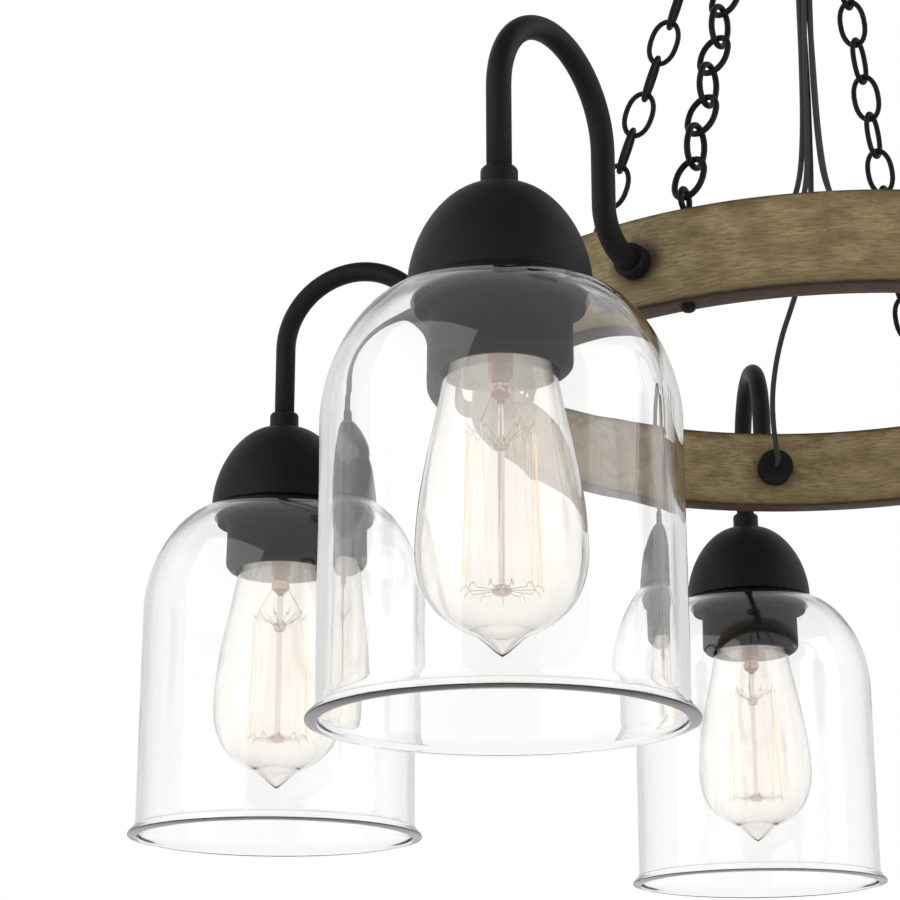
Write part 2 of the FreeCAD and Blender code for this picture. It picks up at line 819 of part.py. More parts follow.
def rounded_path(points):
    """Straight runs joined by arcs as large as the runs allow. Returns the wire and the arcs' radii."""
    edges = []
    radii = []
    here = points[0]
    for before, corner, after in zip(points, points[1:], points[2:]):
        back = before - corner
        ahead = after - corner
        reach = lead_arc_share * min(back.Length, ahead.Length)
        back.normalize()
        ahead.normalize()
        half_turn = (math.pi - back.getAngle(ahead)) / 2
        radius = reach / math.tan(half_turn)
        arc_start = corner + back * reach
        arc_end = corner + ahead * reach
        towards = (back + ahead).normalize()
        arc_mid = corner + towards * (radius / math.cos(half_turn) - radius)
        edges.append(Part.LineSegment(here, arc_start).toShape())
        edges.append(Part.Arc(arc_start, arc_mid, arc_end).toShape())
        radii.append(radius)
        here = arc_end
    edges.append(Part.LineSegment(here, points[-1]).toShape())
    return Part.Wire(edges), radii


def lead_wires():
    """One lead for each light, gathered into a bundle under the hub."""
    path, radii = rounded_path(lead_route())
    lead = swept(path, lead_d / 2)
    share = lead.Volume / (math.pi * lead_d ** 2 / 4) / path.Length
    print("lead length %.1f mm, volume over section times length %.4f" % (path.Length, share))
    print("lead bend radii mm:", " ".join("%.0f" % radius for radius in radii))
    return Part.makeCompound([swung(lead, light_angle(index)) for index in range(light_count)])


def round_the_lights(shape, placed=at_light):
    """Copies of a small piece at every light, as one group."""
    return Part.makeCompound([placed(shape, index) for index in range(light_count)])


def round_the_chains(shape):
    return Part.makeCompound([swung(shape, chain_angle(index)) for index in range(ring_chain_count)])


def swung_to_light(shape, index):
    return swung(shape, light_angle(index))


def build():
    """Every node's shape by name."""
    nodes = {
        "mounting_strap": mounting_strap(),
        "nipple": nipple(),
        "lock_nut": lock_nut(),
        "canopy": canopy(),
        "canopy_collar": canopy_collar(),
        "canopy_loop": canopy_loop(),
        "main_chain": main_chain(),
        "hub_loop": hub_loop(),
        "hub": hub(),
        "hub_eyes": round_the_chains(hub_eye()),
        "ring_band": ring_band(),
        "eye_bolts": round_the_chains(eye_bolt()),
        "eye_nuts": round_the_chains(eye_nut()),
        "arm_flanges": round_the_lights(arm_flange(), swung_to_light),
        "arm_nuts": round_the_lights(arm_nut(), swung_to_light),
        "collars": round_the_lights(collar()),
        "sockets": round_the_lights(socket()),
        "lead_wires": lead_wires(),
    }
    for index in range(ring_chain_count):
        nodes["ring_chain_%d" % (index + 1)] = ring_chain(index)
    bent_arm = arm()
    per_light = {
        "cap": cap(),
        "shade": shade(),
        "socket_cup": socket_cup(),
        "bulb_base": bulb_base(),
        "bulb_glass": bulb_glass(),
        "filament": filament(),
    }
    for index in range(light_count):
        nodes["arm_%d" % (index + 1)] = swung(bent_arm, light_angle(index))
        for name, shape in per_light.items():
            nodes["%s_%d" % (name, index + 1)] = at_light(shape, index)
    return nodes


def main():
    os.makedirs("parts", exist_ok=True)
    for name, shape in build().items():
        shape.exportStep("parts/%s.step" % name)


main()
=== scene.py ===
import math

import bpy
from bpy.props import FloatProperty, FloatVectorProperty, IntProperty, PointerProperty
from bpy.types import Operator, Panel, PropertyGroup
from mathutils import Matrix, Vector


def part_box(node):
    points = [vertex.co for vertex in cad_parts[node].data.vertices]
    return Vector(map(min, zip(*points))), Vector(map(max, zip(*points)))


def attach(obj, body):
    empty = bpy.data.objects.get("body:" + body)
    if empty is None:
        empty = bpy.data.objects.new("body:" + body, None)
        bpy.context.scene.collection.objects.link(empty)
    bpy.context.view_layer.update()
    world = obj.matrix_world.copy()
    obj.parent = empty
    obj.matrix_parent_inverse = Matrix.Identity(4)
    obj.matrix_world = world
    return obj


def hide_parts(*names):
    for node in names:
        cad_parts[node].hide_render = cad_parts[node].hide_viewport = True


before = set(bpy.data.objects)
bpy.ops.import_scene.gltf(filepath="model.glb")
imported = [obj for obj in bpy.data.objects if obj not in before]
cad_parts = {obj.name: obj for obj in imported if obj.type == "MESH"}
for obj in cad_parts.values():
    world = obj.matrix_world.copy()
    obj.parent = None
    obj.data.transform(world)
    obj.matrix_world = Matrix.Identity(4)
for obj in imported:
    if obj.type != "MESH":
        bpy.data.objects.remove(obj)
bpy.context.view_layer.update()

bl_info = {
    "name": "Ring chandelier with bell shades",
    "version": (1, 0, 0),
    "blender": (4, 5, 0),
    "location": "View3D > Sidebar > Chandelier",
    "description": "Models a hoop chandelier's pieces and finishes round its solid frame",
    "category": "Object",
}

# Bodies that the pieces ride on
CEILING = "canopy_body"
DROP_CHAIN = "suspension_chain"
FIXTURE = "fixture"
BULB = "bulb_{}"

# Slot and finish of the black pieces
BLACK = ("black_metal", "powder_coat")

LIGHTS = 5
CHAINS = 4
FIRST_LIGHT = math.radians(-90.0)
CHAIN_TURN = math.radians(6.9)
CHAIN_CROSS = math.radians(79.2)
# How far each chain is twisted about its own line, for every other chain round the hoop
CHAIN_TWISTS = (math.radians(-7.5), math.radians(30.0))

# Gaps between pieces that are clamped together, and round what passes through a hole
SEAT_GAP = 0.0001
SLIP_GAP = 0.0003

# Broken edges of the small turned pieces, and of the larger ones
FINE_EDGE = 0.0004
EDGE = 0.0006

# The plane that is merged to a piece's first point
SPECK = 0.001

CREASE = math.radians(38.0)
FLUTE_CREASE = math.radians(20.0)
MERGE = 2e-6

# From the middle of the hoop towards the camera, and the camera's place, aim and lens
FRONT = Vector((0.578, -0.816, 0.0)).normalized()
CAMERA_PLACE = (0.4598, -0.9569)
CAMERA_DROP = 0.33984
CAMERA_PITCH = math.radians(17.11)
LENS_MM = 92.79
SENSOR_MM = 36.0

# What the lamps are aimed at, each lamp's way from there to the left, to the front and up, and its width
LIT_MIDDLE = Vector((0.05, -0.1, -0.55))
LAMPS = {"key": (1.5, 1.0, 0.55, 2.1), "side": (-1.6, 0.5, 0.35, 1.5)}

# How high the dark part of the room stands behind the camera
DARK_ROOM_TILT = math.radians(58.0)

# The floor's edge, and between which distances it turns as white as the backdrop
FLOOR_RADIUS = 14.0
FLOOR_LIT = 2.9
FLOOR_WHITE = 6.5

# Sockets of Blender's Mix node when it mixes colours
MIX_FACTOR, MIX_A, MIX_B, MIX_OUT = 0, 6, 7, 2


def linear(hex_colour):
    """An sRGB hex colour as linear red, green, blue and alpha."""
    parts = [int(hex_colour[place:place + 2], 16) / 255 for place in (1, 3, 5)]
    straight = [p / 12.92 if p <= 0.04045 else ((p + 0.055) / 1.055) ** 2.4 for p in parts]
    return (*straight, 1.0)


def span(node):
    """The lowest and highest height of a CAD node."""
    low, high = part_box(node)
    return low.z, high.z


def middle_of(node):
    """The height of a CAD node's middle."""
    low, high = span(node)
    return (low + high) / 2


def light_angle(index):
    return FIRST_LIGHT + 2 * math.pi * index / LIGHTS


def chain_angle(index):
    """Two pairs of chains, each pair across the hoop's middle."""
    return FIRST_LIGHT + CHAIN_TURN + CHAIN_CROSS * (index % 2) + math.pi * (index // 2)


def length_of(title, words, metres):
    return FloatProperty(name=title, description=words, default=metres, min=0.0, unit="LENGTH")


def colour_of(title, words, hex_colour):
    return FloatVectorProperty(
        name=title, description=words, size=4, subtype="COLOR", min=0.0, max=1.0,
        default=linear(hex_colour),
    )


class HoopSizes(PropertyGroup):
    outer_radius: length_of("Outer radius", "Radius of the hoop's outer face", 0.173)
    wall: length_of("Wall", "Thickness of the hoop from face to face", 0.013)
    edge_round: length_of("Edge round", "Radius of the hoop's outer edges", 0.0015)
    inner_round: length_of("Inner round", "Radius of the hoop's inner edges", 0.0006)
    light_grain: colour_of("Light grain", "Palest stain on the hoop", "#a08e66")
    fleck: colour_of("Flecks", "Bare grain that stands out of the glaze", "#ab9970")
    dark_grain: colour_of("Dark grain", "Stain in the darker figure and streaks", "#786543")
    # The pore colour also lays a wide band of painted shade along the lower edge, and a darker band along
    # the upper edge
    pore: colour_of("Pores", "Short dark dashes along the grain", "#513f28")
    # The edge colour is partly painted shade: it lays the shadow line along the lower edge and streaks the
    # shaded lower face; it also darkens the upper edge and a patch round each arm
    edge: colour_of("Edges", "Glaze left along the hoop's edges", "#2b1e13")
    # Painted shade: the underside colour darkens the hoop's lower face as if it lay in shadow
    underside: colour_of("Underside", "Stain on the hoop's lower face", "#4a3420")


class ArmSizes(PropertyGroup):
    tube: length_of("Tube", "Outer diameter of the bent tube", 0.010)
    tube_wall: length_of("Tube wall", "Wall of the bent tube", 0.0014)
    bow: length_of("Bow radius", "Centre line of the gooseneck's top bow", 0.0385)
    root_bend: length_of("Root bend", "Centre line of the bend into the hoop", 0.018)
    inner_leg: length_of("Inner leg", "Straight leg on the hoop's side", 0.023)
    sleeve: length_of("Sleeve", "Diameter of the sleeve at the hoop's outer face", 0.0146)
    sleeve_length: length_of("Sleeve length", "How far the sleeve stands off the hoop", 0.007)
    boss: length_of("Boss", "Diameter of the nut on the hoop's inner face", 0.0184)
    boss_length: length_of("Boss length", "How far that nut stands off the hoop", 0.009)
    boss_round: length_of("Boss round", "Round on that nut's end", 0.0015)
    boss_floor: length_of("Boss floor", "Thickness of that nut's end", 0.002)


class LampSizes(PropertyGroup):
    collar: length_of("Collar", "Diameter of the collar on the dome", 0.0146)
    collar_round: length_of("Collar round", "Round at the collar's top", 0.002)
    dome: length_of("Dome radius", "Radius of the dome's mouth", 0.0355)
    dome_wall: length_of("Dome wall", "Thickness of the dome's sheet", 0.0012)
    flange: length_of("Flange radius", "Radius of the flange that clamps the glass", 0.033)
    flange_thick: length_of("Flange thickness", "Thickness of that flange", 0.0026)
    holder: length_of("Holder radius", "Radius of the glass holder's body", 0.0275)
    holder_mouth: length_of("Holder mouth", "Radius of the opening in its bottom", 0.0225)
    holder_wall: length_of("Holder wall", "Thickness of the holder's wall", 0.0016)
    holder_lip: length_of("Holder lip", "Round at the holder's lower edge", 0.004)
    holder_web: length_of("Holder web", "Thickness of the holder's top, round the socket", 0.0044)
    socket: length_of("Socket radius", "Radius of the screw socket", 0.0195)


class ShadeSizes(PropertyGroup):
    radius: length_of("Radius", "Radius of the bell's straight wall", 0.0675)
    wall: length_of("Wall", "Thickness of the glass", 0.003)
    hole: length_of("Hole", "Radius of the hole in the crown", 0.021)
    crown: length_of("Crown", "Radius of the flat crown", 0.0315)
    shoulder: length_of("Shoulder", "Height of the rounded shoulder", 0.052)
    flare: length_of("Flare", "Height of the flare above the rim", 0.0085)
    reach: length_of("Rim reach", "How far the rim stands out past the wall", 0.0037)
    lip: length_of("Lip", "Width of the cut and fire-polished face under the rim", 0.0046)
    lip_rise: length_of("Lip rise", "How much higher that face is at its outer edge", 0.0009)
    lip_round: length_of("Lip round", "Round of the lip's outer edge", 0.0005)
    lip_ease: length_of("Lip ease", "Round of the lip's inner edge", 0.0004)


class BulbSizes(PropertyGroup):
    base: length_of("Base radius", "Radius over the screw thread", 0.0129)
    base_wall: length_of("Base wall", "Sheet of the screw shell", 0.0006)
    thread_pitch: length_of("Thread pitch", "Height of one turn of the screw", 0.00363)
    thread_depth: length_of("Thread depth", "Depth of the rolled thread", 0.0006)
    wall: length_of("Glass wall", "Thickness of the bulb's glass", 0.001)
    shoulder: length_of("Shoulder", "Height of the bulb's shoulder", 0.0125)
    throat: length_of("Throat", "Radius under the shoulder", 0.0204)
    cone: length_of("Cone", "Height from the throat to the belly", 0.0724)
    belly: length_of("Belly", "Largest radius", 0.032)
    nose: length_of("Nose", "Radius where the nose draws out to the tip", 0.0105)
    nose_height: length_of("Nose height", "Height of that place above the tip", 0.0085)
    press: length_of("Press", "How far the stem's press lies below the screw shell", 0.0275)
    bead: length_of("Bead", "How far the rod's upper bead lies below the screw shell", 0.0440)
    button: length_of("Button", "How far the rod's end lies below the screw shell", 0.1000)
    hook: length_of("Hook", "Radius of the wire of a hook", 0.00014)
    cage_top: length_of("Cage top", "Radius of the filament's upper hooks", 0.0130)
    cage_bottom: length_of("Cage bottom", "Radius of the filament's lower hooks", 0.0148)
    strand: length_of("Strand", "Radius of a filament strand, drawn coarse enough to show", 0.00016)
    strands: IntProperty(name="Strands", description="Filament strands in the cage", default=22, min=8)


class ChainSizes(PropertyGroup):
    wire: length_of("Wire", "Wire of the hoop's chains", 0.0028)
    pitch: length_of("Pitch", "Step from link to link", 0.020)
    width: length_of("Width", "Width over a link", 0.0164)
    links: IntProperty(name="Links", description="Links in each of the hoop's chains", default=17, min=1)
    drop_wire: length_of("Drop wire", "Wire of the suspension chain", 0.0038)
    drop_pitch: length_of("Drop pitch", "Step of the suspension chain", 0.027)
    drop_width: length_of("Drop width", "Width of its links", 0.022)
    drop_links: IntProperty(name="Drop links", description="Links in the suspension chain", default=6, min=1)
    play: length_of("Play", "Gap between linked links", 0.0003)


class FittingSizes(PropertyGroup):
    eye_wire: length_of("Eye wire", "Wire of the small eyes", 0.0026)
    eye_hole: length_of("Eye hole", "Radius inside a small eye", 0.0034)
    shank: length_of("Shank", "Diameter of the eyes' shanks", 0.004)
    eye_root: length_of("Eye root", "How deep the side eyes' shanks sit in the hub", 0.005)
    nut: length_of("Nut radius", "Radius of the domed nuts under the eye bolts", 0.003)
    hub: length_of("Hub radius", "Radius of the turned hub", 0.014)
    hub_round: length_of("Hub round", "Round at the hub's ends", 0.003)
    loop_wire: length_of("Loop wire", "Wire of the two large loops", 0.006)
    loop_hole: length_of("Loop hole", "Radius inside a large loop", 0.009)
    loop_stem: length_of("Loop stem", "Radius of the hub loop's threaded stem", 0.005)
    loop_collar: length_of("Loop collar", "Radius of the hub loop's collar", 0.008)
    collar_height: length_of("Collar height", "Height of the loops' collars", 0.005)
    collar_turn: length_of("Collar round", "Round on the loops' collars", 0.002)


class CanopySizes(PropertyGroup):
    radius: length_of("Radius", "Radius at the ceiling", 0.0635)
    wall: length_of("Wall", "Thickness of the pressed sheet", 0.0012)
    flat: length_of("Flat", "Radius of the flat underside", 0.024)
    neck: length_of("Neck", "Radius of the threaded neck", 0.010)
    collar: length_of("Collar", "Radius of the screw collar", 0.014)
    flutes: IntProperty(name="Flutes", description="Grip flutes round the screw collar", default=16, min=3)


class LeadSizes(PropertyGroup):
    diameter: length_of("Diameter", "Outside of one lead's cover", 0.0028)
    bundle: length_of("Bundle", "Radius at which the leads climb to the hub", 0.0029)
    length: length_of("Length", "Length of one lead from its boss to the hub", 0.4221)


class StageSetup(PropertyGroup):
    floor: FloatProperty(
        name="Floor", description="Height of the floor under the ceiling", default=-2.4, unit="LENGTH",
    )
    fill: FloatProperty(name="Fill", description="Strength of the soft light all round", default=0.55)
    key: FloatProperty(
        name="Key", description="Power of the large lamp at the left", default=14.0, unit="POWER",
    )
    side: FloatProperty(name="Side", description="Power of the lamp at the right", default=7.0, unit="POWER")


GROUPS = {
    "hoop": HoopSizes,
    "arms": ArmSizes,
    "lamps": LampSizes,
    "shades": ShadeSizes,
    "bulbs": BulbSizes,
    "chains": ChainSizes,
    "fittings": FittingSizes,
    "canopy": CanopySizes,
    "leads": LeadSizes,
    "studio": StageSetup,
}


class Outline(list):
    """Points of a turned piece's outline, as (radius, height)."""

    def line(self, r, z):
        self.append((r, z))
        return self

    def bend(self, first, second, r, z, steps):
        """A smooth curve to the point, pulled towards two others on the way."""
        pulls = [self[-1], first, second, (r, z)]
        for step in range(1, steps + 1):
            t = step / steps
            s = 1 - t
            weights = (s ** 3, 3 * s * s * t, 3 * s * t * t, t ** 3)
            self.append(tuple(sum(w * p[axis] for w, p in zip(weights, pulls)) for axis in (0, 1)))
        return self

    def quarter(self, r, z, upright_first, steps):
        """A quarter ellipse to the point, leaving along the height or along the radius."""
        # With this pull a cubic curve is nearly a quarter of a circle
        pull = 0.5523
        r0, z0 = self[-1]
        if upright_first:
            first = (r0, z0 + pull * (z - z0))
            second = (r + (1 - pull) * (r0 - r), z)
        else:
            first = (r0 + pull * (r - r0), z0)
            second = (r, z + (1 - pull) * (z0 - z))
        return self.bend(first, second, r, z, steps)


def deselect():
    """Leaves no object selected, so that an operator acts on the next piece alone."""
    bpy.ops.object.select_all(action="DESELECT")


def only(piece):
    """Leaves one piece selected and active."""
    deselect()
    piece.select_set(True)
    bpy.context.view_layer.objects.active = piece


def first_point(name, x, y, z):
    """A new piece in edit mode with one vertex, ready to be extruded."""
    deselect()
    bpy.ops.mesh.primitive_plane_add(size=SPECK)
    piece = bpy.context.object
    piece.name = name
    bpy.ops.object.mode_set(mode="EDIT")
    bpy.ops.mesh.merge(type="CENTER")
    bpy.ops.transform.translate(value=(x, y, z))
    return piece


def none_picked():
    """Deselects every vertex of the active piece, to pick some in object mode."""
    bpy.ops.object.mode_set(mode="EDIT")
    bpy.ops.mesh.select_all(action="DESELECT")
    bpy.ops.object.mode_set(mode="OBJECT")


def extrude_to(points):
    """Extrudes the selected vertex along a line of points. The first is where it is."""
    for here, there in zip(points, points[1:]):
        step = Vector(there) - Vector(here)
        bpy.ops.mesh.extrude_vertices_move(TRANSFORM_OT_translate={"value": step})


def closed_up():
    """Merges a piece's seams and poles, turns its faces outwards and smooths its round faces."""
    bpy.ops.mesh.select_all(action="SELECT")
    bpy.ops.mesh.remove_doubles(threshold=MERGE)
    bpy.ops.mesh.normals_make_consistent(inside=False)
    bpy.ops.object.mode_set(mode="OBJECT")
    bpy.ops.object.shade_smooth_by_angle(angle=CREASE)


def turned(name, outline, around):
    """A piece turned on the lathe: its outline is extruded and then spun about the upright axis."""
    points = [(r, 0.0, z) for r, z in outline]
    solid_middle = points[0][0] == 0 and points[-1][0] == 0
    if not solid_middle:
        points.append(points[0])
    piece = first_point(name, *points[0])
    extrude_to(points)
    bpy.ops.mesh.select_all(action="SELECT")
    bpy.ops.mesh.spin(steps=around, angle=2 * math.pi, center=(0, 0, 0), axis=(0, 0, 1))
    closed_up()
    return piece


def wires(name, paths, radius):
    """Round wires along lines of points, as one mesh."""
    first_point(name, *paths[0][0])
    extrude_to(paths[0])
    for path in paths[1:]:
        bpy.ops.mesh.select_all(action="DESELECT")
        bpy.ops.mesh.primitive_plane_add(size=SPECK, location=path[0])
        bpy.ops.mesh.merge(type="CENTER")
        extrude_to(path)
    bpy.ops.object.mode_set(mode="OBJECT")
    bpy.ops.object.convert(target="CURVE")
    line = bpy.context.object.data
    line.bevel_depth = radius
    line.bevel_resolution = 1
    line.use_fill_caps = True
    bpy.ops.object.convert(target="MESH")
    piece = bpy.context.object
    piece.name = name
    bpy.ops.object.shade_smooth_by_angle(angle=CREASE)
    return piece


def placed(piece, matrix):
    """Moves a piece's mesh and leaves its object at the origin."""
    piece.data.transform(matrix)
    return piece


def laid(piece):
    """A piece turned about the upright axis, laid along +X."""
    return placed(piece, Matrix.Rotation(math.pi / 2, 4, "Y"))


def twin(piece, name, matrix):
    """A copy with its own mesh, at its own place."""
    made = piece.copy()
    made.data = piece.data.copy()
    made.name = name
    bpy.context.collection.objects.link(made)
    return placed(made, matrix)


def dropped(piece):
    """Removes a pattern piece or cutter once its copies are made."""
    mesh = piece.data
    bpy.data.objects.remove(piece)
    bpy.data.meshes.remove(mesh)


def joined(name, pieces):
    """Several pieces as one."""
    deselect()
    for piece in pieces:
        piece.select_set(True)
    bpy.context.view_layer.objects.active = pieces[0]
    bpy.ops.object.join()
    pieces[0].name = name
    return pieces[0]


def worked(piece, kind, **settings):
    """Adds a modifier, sets it and applies it."""
    only(piece)
    bpy.ops.object.modifier_add(type=kind)
    modifier = piece.modifiers[-1]
    for key, value in settings.items():
        setattr(modifier, key, value)
    bpy.ops.object.modifier_apply(modifier=modifier.name)
    return piece


def combined(piece, other, operation):
    """Adds an overlapping piece to another or cuts it out, and smooths the skin that is left."""
    worked(piece, "BOOLEAN", operation=operation, object=other, solver="EXACT")
    dropped(other)
    only(piece)
    bpy.ops.object.shade_smooth_by_angle(angle=CREASE)
    return piece


def light_places(reach=0.0):
    """From a pattern piece's place to each light: out along X by its reach, then round the hoop."""
    out = Matrix.Translation((reach, 0, 0))
    return [Matrix.Rotation(light_angle(index), 4, "Z") @ out for index in range(LIGHTS)]


def chain_places():
    """From a pattern piece's place to each chain, round the hoop."""
    return [Matrix.Rotation(chain_angle(index), 4, "Z") for index in range(CHAINS)]


def copied(pattern, name, places):
    """Copies of a pattern piece at several places, in its stead."""
    copies = [twin(pattern, name, place) for place in places]
    dropped(pattern)
    return copies


def round_lights(pattern, name, reach=0.0):
    """Copies of a pattern piece at every light, as one piece."""
    return joined(name, copied(pattern, name, light_places(reach)))


def round_chains(pattern, name):
    """Copies of a pattern piece at every chain, as one piece."""
    return joined(name, copied(pattern, name, chain_places()))


def drills(sides, radius, depth, spot, places, lying=False):
    """Cutters for round holes at several places, upright or lying along X."""
    bpy.ops.mesh.primitive_cylinder_add(vertices=sides, radius=radius, depth=depth)
    drill = bpy.context.object
    if lying:
        laid(drill)
    return copied(placed(drill, Matrix.Translation(spot)), "drill", places)


def wire_ring(hole, wire, z, lie):
    """A closed ring of round wire standing on edge."""
    deselect()
    bpy.ops.mesh.primitive_torus_add(
        major_segments=48, minor_segments=20, major_radius=hole + wire / 2, minor_radius=wire / 2,
    )
    piece = bpy.context.object
    placed(piece, Matrix.Rotation(math.pi / 2, 4, lie))
    placed(piece, Matrix.Translation((0, 0, z)))
    bpy.ops.object.shade_smooth()
    return piece


def fitted(piece, body, slot, look, node):
    """Gives a piece its finish and its body, and hides the CAD node it stands for."""
    piece.data.materials.clear()
    piece.data.materials.append(finish(look))
    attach(piece, body)
    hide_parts(node)
    return piece


def fitted_lights(pattern, name, body, slot, look, node, reach=0.0):
    """A copy of a pattern piece at every light, each fitted as a piece with the light's number."""
    for number, place in enumerate(light_places(reach), 1):
        piece = twin(pattern, name.format(number), place)
        fitted(piece, body.format(number), slot, look, node.format(number))
    dropped(pattern)


def add(tree, kind, inputs=None, **settings):
    """Adds a node, sets it, and links each input that is given as a socket."""
    made = tree.nodes.new(kind)
    for key, value in settings.items():
        setattr(made, key, value)
    for key, value in (inputs or {}).items():
        if isinstance(value, bpy.types.NodeSocket):
            tree.links.new(value, made.inputs[key])
        else:
            made.inputs[key].default_value = value
    return made


def blank(name):
    """A new material, its node tree and its shader."""
    material = bpy.data.materials.new(name)
    material.use_nodes = True
    tree = material.node_tree
    return material, tree, tree.nodes["Principled BSDF"]


def clouded(tree, shader, first, second, size_mm, detail, socket="Base Color"):
    """Lets a shader's colour drift between two in clouds of a real size, and gives the clouds."""
    place = add(tree, "ShaderNodeTexCoord").outputs["Object"]
    cloud = add(
        tree, "ShaderNodeTexNoise", {"Vector": place, "Scale": 1000 / size_mm, "Detail": detail},
    ).outputs[0]
    tone = add(
        tree, "ShaderNodeMix",
        {MIX_FACTOR: cloud, MIX_A: linear(first), MIX_B: linear(second)}, data_type="RGBA",
    )
    tree.links.new(tone.outputs[MIX_OUT], shader.inputs[socket])
    return cloud


def rippled(tree, shader, size_mm, strength, depth):
    """Raises a low relief of a real size on a shader's surface."""
    place = add(tree, "ShaderNodeTexCoord").outputs["Object"]
    relief = add(tree, "ShaderNodeTexNoise", {"Vector": place, "Scale": 1000 / size_mm, "Detail": 1.0})
    bump = add(
        tree, "ShaderNodeBump", {"Height": relief.outputs[0], "Strength": strength, "Distance": depth},
    )
    tree.links.new(bump.outputs[0], shader.inputs["Normal"])


def powder_coat(name):
    """Black polyester powder baked on steel: matt, with a fine orange peel and barely uneven blacks."""
    material, tree, shader = blank(name)
    cloud = clouded(tree, shader, "#161617", "#1d1d1e", size_mm=22.0, detail=3.0)
    gloss = add(
        tree, "ShaderNodeMapRange",
        {"Value": cloud, "From Min": 0.3, "From Max": 0.7, "To Min": 0.5, "To Max": 0.6},
    )
    tree.links.new(gloss.outputs[0], shader.inputs["Roughness"])
    # The peel of real powder is about 0.6 mm, drawn at 0.9 mm so that it shows
    rippled(tree, shader, size_mm=0.9, strength=0.04, depth=0.0002)
    shader.inputs["Specular IOR Level"].default_value = 0.16
    return material


